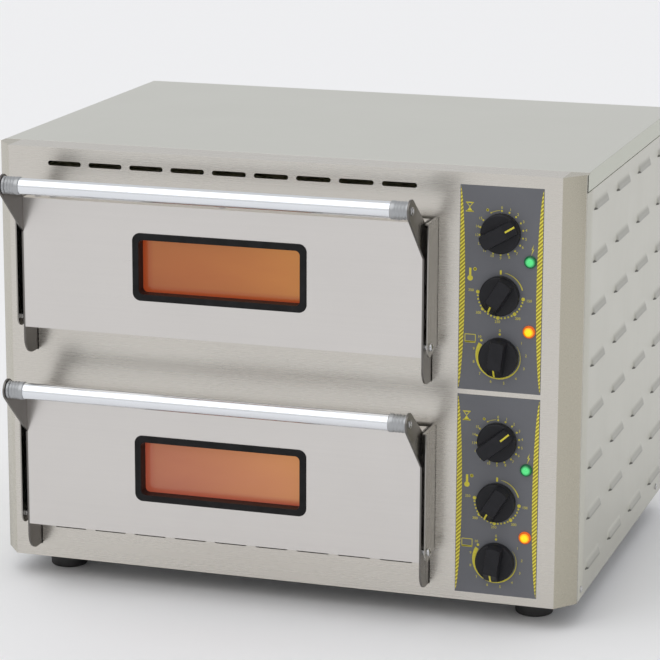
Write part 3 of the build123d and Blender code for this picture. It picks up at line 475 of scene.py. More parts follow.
def brush_group():
    """Brushed sheet metal: fine and coarse brush lines along one direction, and faint handling marks.
    The vector comes in stretched, so that its noise is long one way and short the others."""
    tree, given, result = new_group(
        "Brushed grain",
        [
            ("Vector", "NodeSocketVector", None),
            ("Plain Vector", "NodeSocketVector", None),
            ("Colour", "NodeSocketColor", None),
            ("Roughness", "NodeSocketFloat", 0.3),
            ("Line Contrast", "NodeSocketFloat", 0.06),
            ("Mark Contrast", "NodeSocketFloat", 0.05),
        ],
        [("Colour", "NodeSocketColor"), ("Roughness", "NodeSocketFloat"), ("Height", "NodeSocketFloat")],
    )
    fine = noise(tree, given["Vector"], 1.0, 2.0, 0.6)
    coarse = noise(tree, given["Vector"], 0.22, 3.0, 0.6)
    marks = noise(tree, given["Plain Vector"], 9.0, 4.0, 0.55)
    lines = maths(tree, "ADD", maths(tree, "MULTIPLY", fine, 0.6), maths(tree, "MULTIPLY", coarse, 0.4))
    centred = maths(tree, "SUBTRACT", lines, 0.5)
    line_share = maths(tree, "MULTIPLY", centred, given["Line Contrast"])
    mark_share = maths(tree, "MULTIPLY", maths(tree, "SUBTRACT", marks, 0.5), given["Mark Contrast"])
    tone = maths(tree, "ADD", 1.0, maths(tree, "ADD", line_share, mark_share))
    grey = add_node(tree, "ShaderNodeCombineColor", {0: tone, 1: tone, 2: tone}).outputs[0]
    connect(tree, blend_colours(tree, 1.0, given["Colour"], grey, "MULTIPLY"), result["Colour"])
    rough = maths(tree, "ADD", given["Roughness"], maths(tree, "MULTIPLY", centred, 0.12))
    connect(tree, maths(tree, "SUBTRACT", rough, mark_share), result["Roughness"])
    connect(tree, lines, result["Height"])
    return tree


def speckle_group():
    """Moulded, cast or fibrous grain: fine noise for height, cloudy noise for colour and roughness."""
    tree, given, result = new_group(
        "Grainy surface",
        [
            ("Vector", "NodeSocketVector", None),
            ("Colour", "NodeSocketColor", None),
            ("Second Colour", "NodeSocketColor", None),
            ("Grain Scale", "NodeSocketFloat", 900.0),
            ("Cloud Scale", "NodeSocketFloat", 25.0),
            ("Roughness", "NodeSocketFloat", 0.5),
            ("Roughness Change", "NodeSocketFloat", 0.15),
        ],
        [("Colour", "NodeSocketColor"), ("Roughness", "NodeSocketFloat"), ("Height", "NodeSocketFloat")],
    )
    grain = noise(tree, given["Vector"], given["Grain Scale"], 4.0, 0.6)
    cloud = noise(tree, given["Vector"], given["Cloud Scale"], 5.0, 0.6)
    share = remap(tree, cloud, 0.3, 0.7, 0.0, 1.0)
    connect(tree, blend_colours(tree, share, given["Colour"], given["Second Colour"]), result["Colour"])
    change = maths(tree, "MULTIPLY", maths(tree, "SUBTRACT", cloud, 0.5), given["Roughness Change"])
    connect(tree, maths(tree, "ADD", given["Roughness"], change), result["Roughness"])
    connect(tree, grain, result["Height"])
    return tree


GROUPS = {}


def shared(name, maker):
    """A node group, built once."""
    if name not in GROUPS:
        GROUPS[name] = maker()
    return GROUPS[name]


def brushed(name, colour, roughness, stretch, line=0.06, mark=0.05, depth=0.000005, metallic=1.0):
    """Brushed metal whose lines run along the axis with the smallest stretch."""
    shader = Shader(name)
    grain = shader.group(
        shared("brush", brush_group),
        Vector=shader.place(stretch),
        Plain_Vector=shader.place(),
        Colour=tuple(colour),
        Roughness=roughness,
        Line_Contrast=line,
        Mark_Contrast=mark,
    )
    shader.feed("Base Color", grain.outputs["Colour"])
    shader.feed("Roughness", grain.outputs["Roughness"])
    shader.feed("Metallic", metallic)
    shader.bump(grain.outputs["Height"], depth)
    return shader


def grainy(
    name, colour, second, roughness, grain, cloud, depth, change=0.15, metallic=0.0, gloss=0.5
):
    """Moulded, cast, stone or fibrous surface."""
    shader = Shader(name)
    shader.feed("Specular IOR Level", gloss)
    surface = shader.group(
        shared("grainy", speckle_group),
        Vector=shader.place(),
        Colour=tuple(colour),
        Second_Colour=tuple(second),
        Grain_Scale=grain,
        Cloud_Scale=cloud,
        Roughness=roughness,
        Roughness_Change=change,
    )
    shader.feed("Base Color", surface.outputs["Colour"])
    shader.feed("Roughness", surface.outputs["Roughness"])
    shader.feed("Metallic", metallic)
    shader.bump(surface.outputs["Height"], depth)
    return shader


MATERIALS = {}


def finish_of(name, maker, *values, **named):
    """A material of this oven, made the first time it is asked for."""
    if name not in MATERIALS:
        made = maker(name, *values, **named)
        MATERIALS[name] = made.material if isinstance(made, Shader) else made
    return MATERIALS[name]


# colour, second colour, roughness, grain scale, cloud scale, bump depth, roughness change, metallic, gloss
PLAIN_FINISHES = {
    "Aluminised steel": ((0.42, 0.43, 0.44), (0.5, 0.5, 0.5), 0.42, 2200.0, 120.0, 0.00001, 0.2, 1.0),
    "Heat-tinted liner": ((0.36, 0.31, 0.25), (0.46, 0.43, 0.38), 0.42, 1800.0, 12.0, 0.00002, 0.25, 1.0),
    "Bright screw": ((0.62, 0.62, 0.62), (0.5, 0.5, 0.5), 0.22, 2500.0, 300.0, 0.00001, 0.2, 1.0),
    "Refractory stone": ((0.5, 0.39, 0.27), (0.62, 0.52, 0.4), 0.9, 700.0, 30.0, 0.0004),
    "Mineral wool": ((0.66, 0.6, 0.4), (0.8, 0.76, 0.58), 0.95, 420.0, 45.0, 0.0012),
    "Switch body": ((0.62, 0.58, 0.5), (0.68, 0.65, 0.57), 0.45, 1400.0, 60.0, 0.00004),
    "Terminal ceramic": ((0.76, 0.73, 0.66), (0.84, 0.82, 0.76), 0.55, 900.0, 70.0, 0.00005),
    "Gland nylon": ((0.02, 0.02, 0.021), (0.03, 0.03, 0.03), 0.45, 1300.0, 80.0, 0.00004),
    "Foot rubber": ((0.014, 0.014, 0.014), (0.024, 0.024, 0.024), 0.55, 1100.0, 50.0, 0.00008),
    "Bezel black": (
        (0.006, 0.006, 0.006), (0.014, 0.014, 0.015), 0.38, 1500.0, 60.0, 0.00002, 0.15, 0.0, 0.15
    ),
}


def plain_finish(name):
    """A finish from the table of those whose colours are not settings."""
    return finish_of(name, grainy, *PLAIN_FINISHES[name])


def dress(node, material):
    """Gives a shown CAD node its finish."""
    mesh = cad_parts[node].data
    mesh.materials.clear()
    mesh.materials.append(material)


ALONG_X = (3.0, 900.0, 900.0)
ALONG_Z = (900.0, 900.0, 3.0)


# ------------------------------------------------------------------ body
def two_tone_steel(name, colour, side_colour, fold, roughness, seam=None):
    """Brushed steel with painted shade past a fold at |X| = fold, where the side colour stands for the
    dimmer light on the turned faces.
    With a seam, what lies behind that Y and below the cover's band is painted near black as the shade in
    the gap it lines."""
    shader = brushed(name, colour, roughness, ALONG_X, 0.05, 0.04)
    x, y, z = shader.node("ShaderNodeSeparateXYZ", {"Vector": shader.place()}).outputs
    past = maths(shader.tree, "SUBTRACT", maths(shader.tree, "ABSOLUTE", x), fold)
    # painted shade: past the fold, the darker side colour stands for the dimmer light on the slanted
    # corners and the cover's side bands
    beyond = remap(shader.tree, past, -0.0004, 0.0002, 0.0, 1.0)
    grain = shader.principled.inputs["Base Color"].links[0].from_socket
    shade_painted_colour = blend_colours(shader.tree, beyond, grain, tuple(side_colour))
    if seam is not None:
        # painted shade: the flange behind the seam and below the cover's band is painted near black for
        # the shade in the gap
        behind = remap(shader.tree, y, seam - 0.0004, seam, 0.0, 1.0)
        under = remap(shader.tree, z, PANEL_TOP, PANEL_TOP + 0.004, 1.0, 0.0)
        seam_gap_shade = maths(shader.tree, "MULTIPLY", behind, under)
        shade_painted_colour = blend_colours(shader.tree, seam_gap_shade, shade_painted_colour, (0.05, 0.05, 0.045))
    shader.feed("Base Color", shade_painted_colour)
    return shader


class OVEN_OT_body(Operator):
    """Builds the folded fascia, cover, back panel and base of the oven."""

    bl_idname = "oven.body"
    bl_label = "Body panels"

    def execute(self, context):
        sheet, finish = context.scene.oven_sheet, context.scene.oven_finish
        # painted shade: the slanted corners, the cover's side bands and the flange behind the seam get
        # darker colours for the light they lack
        corners, band = finish.corner_colour, finish.band_colour
        fascia = finish_of(
            "Brushed fascia", two_tone_steel, finish.fascia_colour, corners, CORNER_FOLD, 0.27, SEAM_Y
        )
        cover = finish_of("Brushed cover", two_tone_steel, finish.cover_colour, band, BAND_FOLD, 0.34)
        back = finish_of("Satin back", brushed, finish.side_colour, 0.4, ALONG_X, 0.06, 0.08)
        pan = plain_finish("Aluminised steel")
        for node, name, slot, radius, material in (
            ("front_fascia", "fascia_sheet", "brushed_panel", sheet.fold_radius, fascia),
            ("top_cover", "cover_sheet", "brushed_panel", sheet.fold_radius, cover),
            ("back_panel", "back_sheet", "side_sheet", sheet.edge_radius, back),
            ("base_pan", "base_sheet", "aluminised_steel", sheet.edge_radius, pan),
            ("control_partition", "partition_sheet", "aluminised_steel", sheet.edge_radius, pan),
        ):
            softened(node, name, CABINET, radius, material)
        return {"FINISHED"}


# ------------------------------------------------------------------ side panels
def louvre_bulge(across, above, settings):
    """How far the sheet stands out at a distance along and above a louvre's slit.
    r = length of (distance past the straight lip / taper, height above the slit / rise);
    the bulge is half of (1 + cos(pi r)) of the louvre's height, and nothing past r = 1."""
    taper = (settings.louvre_length - settings.louvre_lip) / 2
    beyond = np.maximum(np.abs(across) - settings.louvre_lip / 2, 0.0) / taper
    r = np.minimum(np.hypot(beyond, above / settings.louvre_rise), 1.0)
    return settings.louvre_proud * 0.5 * (1.0 + np.cos(np.pi * r))


def louvred_sheet(sign, settings):
    """The outer face of a side panel: a grid over depth Y and height Z, cut at each row of slits.
    X = sign * (side face + bulge of the louvre above the slit); below a slit the sheet stays flat."""
    node = "right_side_panel" if sign > 0 else "left_side_panel"
    lowest, highest = low(node), high(node)
    highest[2] = PANEL_TOP
    steps = np.linspace(-1.0, 1.0, 37) * settings.louvre_length / 2
    columns = [(centre + steps) for centre in LOUVRE_Y]
    y = np.unique(np.round(np.concatenate([[lowest[1], highest[1]], *columns]), 7))
    nearest = LOUVRE_Y[np.argmin(np.abs(y[:, None] - LOUVRE_Y[None, :]), axis=1)]
    starts = np.concatenate([[lowest[2]], LOUVRE_Z])
    ends = np.concatenate([LOUVRE_Z, [highest[2]]])
    surfaces = []
    for band, (start, end) in enumerate(zip(starts, ends)):
        rise = start + settings.louvre_rise * np.linspace(0.0, 1.0, 13)
        z = np.unique(np.round(np.concatenate([rise, [end - 0.002, end - 0.0006, end]]), 7))
        grid_y, grid_z = np.meshgrid(y, z, indexing="ij")
        out = np.zeros_like(grid_y)
        if band:
            out = louvre_bulge(grid_y - nearest[:, None], grid_z - start, settings)
        points = np.stack([sign * (SIDE_FACE + out), grid_y, grid_z], axis=2)
        faces = grid_faces(len(y), len(z))
        surfaces.append((points, faces[:, ::-1] if sign > 0 else faces))
    return surfaces


def pressed_satin(name, colour):
    """Satin steel with painted shade on its louvres: darker where the press has drawn a louvre out,
    darkest along its lip.
    """
    shader = brushed(name, colour, 0.36, ALONG_Z, 0.05, 0.08)
    pressed = shader.node("ShaderNodeAttribute", attribute_name="pressed").outputs["Fac"]
    grain = shader.principled.inputs["Base Color"].links[0].from_socket
    # painted shade: the drawn louvre faces and their lips take a darker copy of the satin, standing for
    # the shade on their slopes
    louvre_shade_colour, dark = tinted(colour, 0.62), tinted(colour, 0.12)
    drawn = remap(shader.tree, pressed, 0.08, 0.5, 0.0, 0.7)
    lip = remap(shader.tree, pressed, 0.86, 1.0, 0.0, 0.3)
    share = maths(shader.tree, "ADD", drawn, lip)
    shade_painted_colour = blend_colours(shader.tree, share, grain, louvre_shade_colour)
    # painted shade: each louvre's open front corner is painted near black for the shade inside the opening
    torn = shader.node("ShaderNodeAttribute", attribute_name="torn").outputs["Fac"]
    edge = remap(shader.tree, torn, 0.35, 0.6, 0.0, 0.85)
    shader.feed("Base Color", blend_colours(shader.tree, edge, shade_painted_colour, dark))
    return shader


class OVEN_OT_side_panels(Operator):
    """Builds the two side sheets with their pressed louvres."""

    bl_idname = "oven.side_panels"
    bl_label = "Side panels"

    def execute(self, context):
        settings, finish = context.scene.oven_sheet, context.scene.oven_finish
        satin = finish_of("Satin side", pressed_satin, finish.side_colour)
        for sign, name in ((-1, "left"), (1, "right")):
            mesh = raw_mesh(name + "_louvred_sheet", louvred_sheet(sign, settings))
            with editing(mesh) as edit:
                bmesh.ops.remove_doubles(edit, verts=edit.verts, dist=1e-6)
            mesh.shade_smooth()
            self.measure_press(mesh, settings)
            mesh.materials.append(satin)
            panel = linked(mesh.name, mesh)
            wall = panel.modifiers.new("Sheet thickness", "SOLIDIFY")
            wall.thickness = settings.sheet
            wall.offset = -1.0
            finish_piece(panel, CABINET, [name + "_side_panel"])
            self.hanging_strip(sign, name, settings, satin)
        return {"FINISHED"}

    def measure_press(self, mesh, settings):
        """Writes how far each point stands out of the flat sheet, as a share of a louvre's height."""
        points = mesh_points(mesh)
        out = (np.abs(points[:, 0]) - SIDE_FACE) / settings.louvre_proud
        layer = mesh.attributes.new("pressed", "FLOAT", "POINT")
        layer.data.foreach_set("value", np.clip(out, 0.0, 1.0))
        # painted shade: marks each louvre's open front corner, which the satin paints near black
        torn = self.front_corners(points, out, settings)
        mesh.attributes.new("torn", "FLOAT", "POINT").data.foreach_set("value", torn)

    def front_corners(self, points, out, settings):
        """One at the open lower front corner of each louvre, which the satin paints as shade, falling to
        nothing a little way from it.
        1 - (along / 0.011 + above / 0.0055), along and above being the distances from the corner."""
        y, z = points[:, 1], points[:, 2]
        ends = LOUVRE_Y - settings.louvre_lip / 2 - 0.004
        along = np.abs(y[:, None] - ends[None, :]).min(axis=1)
        above = np.abs(z[:, None] - LOUVRE_Z[None, :]).min(axis=1)
        return np.where(out > 0.02, np.clip(1.0 - along / 0.011 - above / 0.0055, 0.0, 1.0), 0.0)

    def hanging_strip(self, sign, name, settings, material):
        """The strip behind the cover's band that the panel hangs on."""
        node = name + "_side_panel"
        inner = SIDE_FACE - 2 * settings.sheet - LAP_GAP
        start, end = FASCIA_FACE + TONGUE_DEPTH, high(node)[1] - 0.003
        x = np.array([inner, inner + settings.sheet]) * sign
        z = np.array([PANEL_TOP - TONGUE_LAP, high(node)[2]])
        corners = [(x[i], y, z[k]) for i, y, k in itertools.product((0, 1), (start, end), (0, 1))]
        sides = [[0, 1, 3, 2], [4, 6, 7, 5], [0, 4, 5, 1], [2, 3, 7, 6], [0, 2, 6, 4], [1, 5, 7, 3]]
        made_piece(name + "_hanging_strip", [(corners, sides)], CABINET, material)


# ------------------------------------------------------------------ doors
def window_glass(name, colour, deck):
    """Amber glass with painted light: clear tint, a lit haze painted into the pane as emission that grows
    to the right, and painted shade in a darker band at the reveal.
    """
    shader = Shader(name)
    corner, far = low(deck + "_window_glass"), high(deck + "_window_glass")
    width, height = far[0] - corner[0], far[2] - corner[2]
    inside = shader.place(
        scale=(1 / width, 1.0, 1 / height), shift=(-corner[0] / width, 0.0, -corner[2] / height)
    )
    split = shader.node("ShaderNodeSeparateXYZ", {"Vector": inside}).outputs
    tree = shader.tree
    haze = noise(tree, shader.place((7.0, 7.0, 26.0)), 1.0, 3.0, 0.5)
    # painted light: the pane's glow grows to the right and upwards, standing for the chamber's light
    right = maths(tree, "POWER", maths(tree, "MAXIMUM", split[0], 0.0), 1.6)
    rise = maths(tree, "MULTIPLY", split[2], 0.16)
    lift = maths(tree, "ADD", maths(tree, "MULTIPLY", right, 0.62), rise)
    share = maths(tree, "ADD", lift, maths(tree, "MULTIPLY", maths(tree, "SUBTRACT", haze, 0.5), 0.4))
    dim, bright = tinted(colour, 0.62), tinted(colour, 1.12, 1.75, 1.2)
    lit = blend_colours(tree, remap(tree, share, 0.0, 0.8, 0.0, 1.0), dim, bright)
    # painted shade: the glow fades to a dark colour along the pane's left and lower edges, standing for
    # the reveal's shadow
    edge_x = remap(tree, split[0], 0.02, 0.075, 0.0, 1.0)
    edge_z = remap(tree, split[2], 0.04, 0.16, 0.0, 1.0)
    reveal = maths(tree, "MULTIPLY", edge_x, edge_z)
    deep = tinted(colour, 0.62, 0.28, 0.2)
    # painted light: the pane, which is no lamp, carries the chamber's glow as emission
    shader.feed("Emission Color", blend_colours(tree, reveal, deep, lit))
    shader.feed("Emission Strength", 0.5)
    shader.feed("Base Color", (0.24, 0.075, 0.032) if deck == "upper" else (0.34, 0.15, 0.12))
    shader.feed("Roughness", remap(tree, haze, 0.3, 0.7, 0.06, 0.14))
    shader.feed("Transmission Weight", 0.35)
    shader.feed("IOR", 1.45)
    return shader


class OVEN_OT_doors(Operator):
    """Builds both doors: shells, cheeks, windows and the pans behind them."""

    bl_idname = "oven.doors"
    bl_label = "Doors"

    def execute(self, context):
        sheet, finish = context.scene.oven_sheet, context.scene.oven_finish
        shell = finish_of("Brushed door", brushed, finish.door_colour, 0.3, ALONG_X, 0.07, 0.06)
        # partly the steel's own tone, partly painted dark reflection on the hinge brackets and door pans
        plate = finish_of("Plain steel", brushed, finish.plate_colour, 0.28, ALONG_Z, 0.08, 0.12)
        # painted dark reflection: the side plates' near-black base stands for the dark reflections on
        # their faces
        cheek = finish_of("Dark door plates", brushed, finish.cheek_colour, 0.3, ALONG_Z, 0.12, 0.3)
        frame_black = plain_finish("Bezel black")
        wool = plain_finish("Mineral wool")
        for deck in DECKS:
            body = deck + "_door"
            glass = finish_of(f"{deck}_window amber glass", window_glass, tuple(finish.glow_colour), deck)
            for part, name, slot, radius, material, segments in (
                ("door_outer_panel", "door_shell", "door_sheet", sheet.fold_radius, shell, 2),
                ("door_inner_panel", "door_pan", "plain_steel", sheet.edge_radius, plate, 2),
                ("door_cheeks", "door_side_plates", "plain_steel", sheet.edge_radius, cheek, 2),
                ("window_bezel", "window_frame", "bezel_black", 0.0005, frame_black, 3),
                ("window_glass", "window_pane", "window_glass", 0.0004, glass, 2),
            ):
                softened(f"{deck}_{part}", f"{deck}_{name}", body, radius, material, segments)
            dress(deck + "_door_insulation", wool)
        return {"FINISHED"}


# ------------------------------------------------------------------ handles
class OVEN_OT_handles(Operator):
    """Builds the handle tubes and the ferrules that close their ends."""

    bl_idname = "oven.handles"
    bl_label = "Handles"

    def execute(self, context):
        finish = context.scene.oven_finish
        tube_finish = finish_of(
            "Anodised tube", brushed, finish.handle_colour, 0.2, ALONG_X, 0.05, 0.04, 0.00001
        )
        cap_finish = finish_of(
            "Grey ferrule", brushed, (0.42, 0.43, 0.44), 0.38, (1400.0, 60.0, 60.0), 0.12, 0.1, 0.00002
        )
        for deck in DECKS:
            body = deck + "_door"
            tube = deck + "_handle_tube"
            centre, start, end = middle(tube), low(tube)[0], high(tube)[0]
            radius = (high(tube)[2] - low(tube)[2]) / 2
            bore = radius - TUBE_WALL
            half = (end - start) / 2
            ring = [(bore, -half), (radius - 0.0003, -half), (radius, -half + 0.0003)]
            ring += [(radius, x) for x in np.linspace(-half + 0.0006, half - 0.0006, 9)]
            ring += [(radius, half - 0.0003), (radius - 0.0003, half), (bore, half), (bore, -half)]
            bar = [turned(ring, centre, (1, 0, 0), 72)]
            made_piece(deck + "_handle_bar", bar, body, tube_finish, [tube], SHARP)
            node = deck + "_handle_ferrules"
            outer = (high(node)[2] - low(node)[2]) / 2
            ribs = self.ribs(outer)
            caps = []
            for sign, face in ((-1, low(node)[0]), (1, high(node)[0])):
                origin = (face, centre[1], centre[2])
                inner = radius + 0.00002
                cap = [
                    (0.0017, 0.0),
                    (outer - 0.0008, 0.0),
                    (outer - 0.0002, 0.0003),
                    (outer, 0.0009),
                    *ribs,
                    (outer, 0.0193),
                    (outer - 0.0005, 0.02),
                    (inner, 0.02),
                    (inner, 0.014),
                    (0.0017, 0.014),
                    (0.0017, 0.0),
                ]
                caps.append(turned(cap, origin, (-sign, 0, 0), 64))
            made_piece(deck + "_handle_caps", caps, body, cap_finish, [node], SHARP)
        return {"FINISHED"}

    def ribs(self, outer):
        """Four grooves round a ferrule: radius = outer - depth (1 - cos(step pi / 2))."""
        steps = np.arange(17)
        radii = outer - 0.00035 * (1.0 - np.cos(steps * np.pi / 2))
        return list(zip(radii.tolist(), (0.0012 + 0.0009 * steps).tolist()))


# ------------------------------------------------------------------ hinges and screws
def screw_surfaces(place, outwards, head, shank, length, height=0.002):
    """A dome-headed screw with a cross recess. The head is a polar height field:
    height = head height * sqrt(1 - 0.75 (r / head)^2), less a recess near either arm of the cross."""
    outwards = np.asarray(outwards, float)
    side, other = across_axis(outwards)
    r = np.concatenate([np.linspace(0.0, 0.72, 14), np.linspace(0.78, 1.0, 5)]) * head
    count, start = 48, 0.35
    angle = np.linspace(0, 2 * np.pi, count, endpoint=False) + start
    u, v = r[:, None] * np.cos(angle), r[:, None] * np.sin(angle)
    dome = height * np.sqrt(1.0 - 0.75 * (r[:, None] / head) ** 2)
    arm = np.minimum(np.abs(u), np.abs(v)) / (0.13 * head)
    reach = np.hypot(u, v) / (0.56 * head)
    recess = np.clip(1.6 - arm, 0.0, 1.0) * np.clip(4.0 * (1.0 - reach), 0.0, 1.0)
    lift = dome - recess * height * 0.55
    top = np.asarray(place) + u[..., None] * side + v[..., None] * other + lift[..., None] * outwards
    rim = [(head, height * 0.5), (head, 0.0), (shank, 0.0), (shank, -length), (0.0, -length)]
    return [
        (top, grid_faces(len(r), count, closed_columns=True)),
        turned(rim, place, outwards, count, start),
    ]


class OVEN_OT_hinges(Operator):
    """Builds the hinge brackets, their pivot screws and every small screw."""

    bl_idname = "oven.hinges"
    bl_label = "Hinges and screws"

    def execute(self, context):
        sheet, finish = context.scene.oven_sheet, context.scene.oven_finish
        # partly the steel's own tone, partly painted dark reflection on the hinge brackets
        plate = finish_of("Plain steel", brushed, finish.plate_colour, 0.28, ALONG_Z, 0.08, 0.12)
        bright = plain_finish("Bright screw")
        softened("hinge_brackets", "hinge_plates", CABINET, sheet.edge_radius, plate)
        self.screws("panel_screws", "body_screws", CABINET, bright, self.panel_places())
        for deck in DECKS:
            name = deck + "_door"
            self.screws(name + "_screws", name + "_fixings", name, bright, self.door_places(deck))
        self.pivots(bright)
        return {"FINISHED"}

    def screws(self, node, name, body, material, places):
        """One piece for a group of screws."""
        surfaces = []
        for place, outwards, head, length in places:
            surfaces += screw_surfaces(place, outwards, head, SCREW_SHANK, length)
        made_piece(name, surfaces, body, material, [node], SHARP)

    def panel_places(self):
        """Side screws in their two rows and back screws in theirs."""
        back = high("back_panel")[1]
        head, length = SMALL_SCREW
        places = []
        for side, depth in itertools.product((-1, 1), SIDE_SCREW_DEPTHS):
            place = (side * SIDE_FACE, FASCIA_FACE + depth, SIDE_SCREW_HEIGHT)
            places.append((place, (side, 0, 0), head, length))
        for x, z in itertools.product((-0.315, -0.105, 0.105, 0.315), BACK_SCREW_HEIGHTS):
            places.append(((x, back, z), (0, 1, 0), head, length))
        return places

    def door_places(self, deck):
        """The handle's end screws and the row on the door's top edge."""
        shell, cheeks, tube = deck + "_door_outer_panel", deck + "_door_cheeks", deck + "_handle_tube"
        top, centre = high(shell)[2], middle(shell)[0]
        axis = middle(tube)
        ends = [
            ((low(cheeks)[0], axis[1], axis[2]), (-1, 0, 0), *HANDLE_SCREW),
            ((high(cheeks)[0], axis[1], axis[2]), (1, 0, 0), *HANDLE_SCREW),
        ]
        row = [
            ((centre + x, FASCIA_FACE - 0.021, top), (0, 0, 1), *SMALL_SCREW)
            for x in (-0.216, -0.198, 0.0, 0.198, 0.216)
        ]
        return ends + row

    def pivots(self, material):
        """Each pivot: a shaft, a lens head outside the bracket and a six-sided nut inside it."""
        surfaces = []
        for deck in DECKS:
            shell = deck + "_door_outer_panel"
            centre, half = middle(shell)[0], (high(shell)[0] - low(shell)[0]) / 2
            y, z = FASCIA_FACE - PIVOT_REACH, low(shell)[2] + PIVOT_RISE
            for sign in (-1, 1):
                out = (sign, 0, 0)
                shaft = [(0.0, -0.0025), (0.0026, -0.0025), (0.003, -0.0021)]
                shaft += [(0.003, 0.008), (0.0, 0.008)]
                surfaces.append(turned(shaft, (centre + sign * half, y, z), out, 32))
                outer = centre + sign * (half + 0.008)
                lens = [(0.0, 0.0), (0.0046, 0.0), (0.0046, 0.0012), (0.0041, 0.0021), (0.0028, 0.0028)]
                lens += [(0.0015, 0.003), (0.0014, 0.0018), (0.0, 0.0018)]
                surfaces.append(turned(lens, (outer, y, z), out, 40))
                inner = centre + sign * (half + 0.0065)
                nut = [(0.0, 0.0), (0.0042, 0.0), (0.0046, -0.0004), (0.0046, -0.0024)]
                nut += [(0.0042, -0.0028), (0.0, -0.0028)]
                surfaces.append(turned(nut, (inner, y, z), out, 6))
        made_piece("door_pivots", surfaces, CABINET, material, ["pivot_screws"], SHARP)


# ------------------------------------------------------------------ labels
def polar(centre, radius, degrees):
    """Points at clockwise angles from straight up, as (x, z)."""
    angle = np.radians(degrees)
    return np.stack(
        [centre[0] + radius * np.sin(angle), centre[1] + radius * np.cos(angle)], axis=-1
    )


def arc_band(centre, start, end, inner, outer, count=48):
    """A band between two radii, each a number or an array along the arc, as a closed outline."""
    degrees = np.linspace(start, end, count)
    outside = polar(centre, outer, degrees)
    inside = polar(centre, inner, degrees)
    return np.concatenate([outside, inside[::-1]])


def dot(centre, radius, count=20):
    """A round dot as an outline."""
    return polar(centre, radius, np.linspace(0, 360, count, endpoint=False))


def strip(points, width):
    """A line of even width along (x, z) points: each point moved half the width to both sides."""
    points = np.asarray(points, float)
    along = np.gradient(points, axis=0)
    along /= np.linalg.norm(along, axis=1)[:, None]
    across = np.stack([-along[:, 1], along[:, 0]], axis=1) * width / 2
    return np.concatenate([points + across, (points - across)[::-1]])


def frame_outline(centre, width, height, line):
    """Four strips that draw a rectangle."""
    x, z = centre
    w, h = width / 2, height / 2
    corners = [(x - w, z - h), (x - w, z + h), (x + w, z + h), (x + w, z - h)]
    pairs = zip(corners, corners[1:] + corners[:1])
    return [strip(pair, line) for pair in pairs]


def hourglass(x, z, size):
    """Two triangles point to point between two bars."""
    w, h = size * 0.36, size * 0.5
    top = [(x - w, z + h), (x + w, z + h), (x, z)]
    bottom = [(x - w, z - h), (x, z), (x + w, z - h)]
    return [
        strip([top[0], top[2], top[1]], size * 0.09),
        bottom,
        strip([(x - w * 1.25, z + h), (x + w * 1.25, z + h)], size * 0.12),
        strip([(x - w * 1.25, z - h), (x + w * 1.25, z - h)], size * 0.12),
    ]


def thermometer(x, z, size):
    """A stem on a bulb, with a ring beside it for the degree sign."""
    stem = strip([(x, z - size * 0.16), (x, z + size * 0.5)], size * 0.2)
    bulb = dot((x, z - size * 0.38), size * 0.24)
    degree = arc_band((x + size * 0.42, z + size * 0.42), 0, 360, size * 0.08, size * 0.15, 25)
    return [stem, bulb, degree]


def bolt(x, z, size):
    """A slim lightning bolt."""
    shape = [(0.22, 1.0), (-0.2, 0.05), (0.04, 0.12), (-0.22, -1.0), (0.28, 0.2), (0.02, 0.13)]
    return [[(x + a * size * 0.55, z + b * size * 0.5) for a, b in shape]]


def plate_sign(x, z, size):
    """An oven box drawn as a thin frame with a heavy floor."""
    w, h = size * 0.5, size * 0.36
    floor = strip([(x - w, z - h), (x + w, z - h)], size * 0.16)
    return frame_outline((x, z), 2 * w, 2 * h, size * 0.06) + [floor]


def figure_surfaces(text, place, size, front, back):
    """Figures as thin solids: the built-in font, extruded, then laid with X along X and Y up Z."""
    curve = bpy.data.curves.new("figure", "FONT")
    curve.body = text
    curve.size = size
    curve.align_x = "CENTER"
    curve.align_y = "CENTER"
    curve.resolution_u = 3
    curve.extrude = (back - front) / 2
    holder = linked("figure", curve)
    flat = bpy.data.meshes.new_from_object(holder.evaluated_get(bpy.context.evaluated_depsgraph_get()))
    points = mesh_points(flat)
    faces = [list(face.vertices) for face in flat.polygons]
    laid = np.stack(
        [points[:, 0] + place[0], (front + back) / 2 - points[:, 2], points[:, 1] + place[1]], axis=1
    )
    bpy.data.objects.remove(holder)
    bpy.data.curves.remove(curve)
    bpy.data.meshes.remove(flat)
    return laid, faces


def side_bands(deck):
    """The two hatched bands at a label's sides: zero wide at its ends, widest in its middle.
    Width = widest * (1 - (2 t - 1)^2)^0.7 for t from the label's foot to its head."""
    corner, far = low(deck + "_control_label"), high(deck + "_control_label")
    t = np.linspace(0.0, 1.0, 41)
    z = corner[2] + 0.0015 + t * (far[2] - corner[2] - 0.003)
    width = 0.0058 * (1.0 - (2 * t - 1) ** 2) ** 0.7 + 0.0001
    inset = 0.0006
    outlines = []
    for edge, sign in ((corner[0] + inset, 1), (far[0] - inset, -1)):
        outer = np.stack([np.full_like(z, edge), z], axis=1)
        inner = np.stack([edge + sign * width, z], axis=1)
        outlines.append(np.concatenate([outer, inner[::-1]]))
    return outlines


def timer_marks(centre):
    """Fifteen numbered dots clockwise from zero, and the arc back to the hand mark."""
    steps = [polar(centre, 0.0238, 20.15 * k) for k in range(16)]
    outlines = [dot(place, 0.00105) for place in steps]
    outlines.append(arc_band(centre, -5, -27, 0.02395, 0.0244, 16))
    outlines.append(dot(polar(centre, 0.0242, -29), 0.00075))
    hand = polar(centre, 0.0285, -33)
    outlines.append(arc_band(hand, 0, 360, 0.0009, 0.0015, 25))
    figures = [(str(k), polar(centre, 0.0272, 20.15 * k)) for k in range(16)]
    return outlines, figures


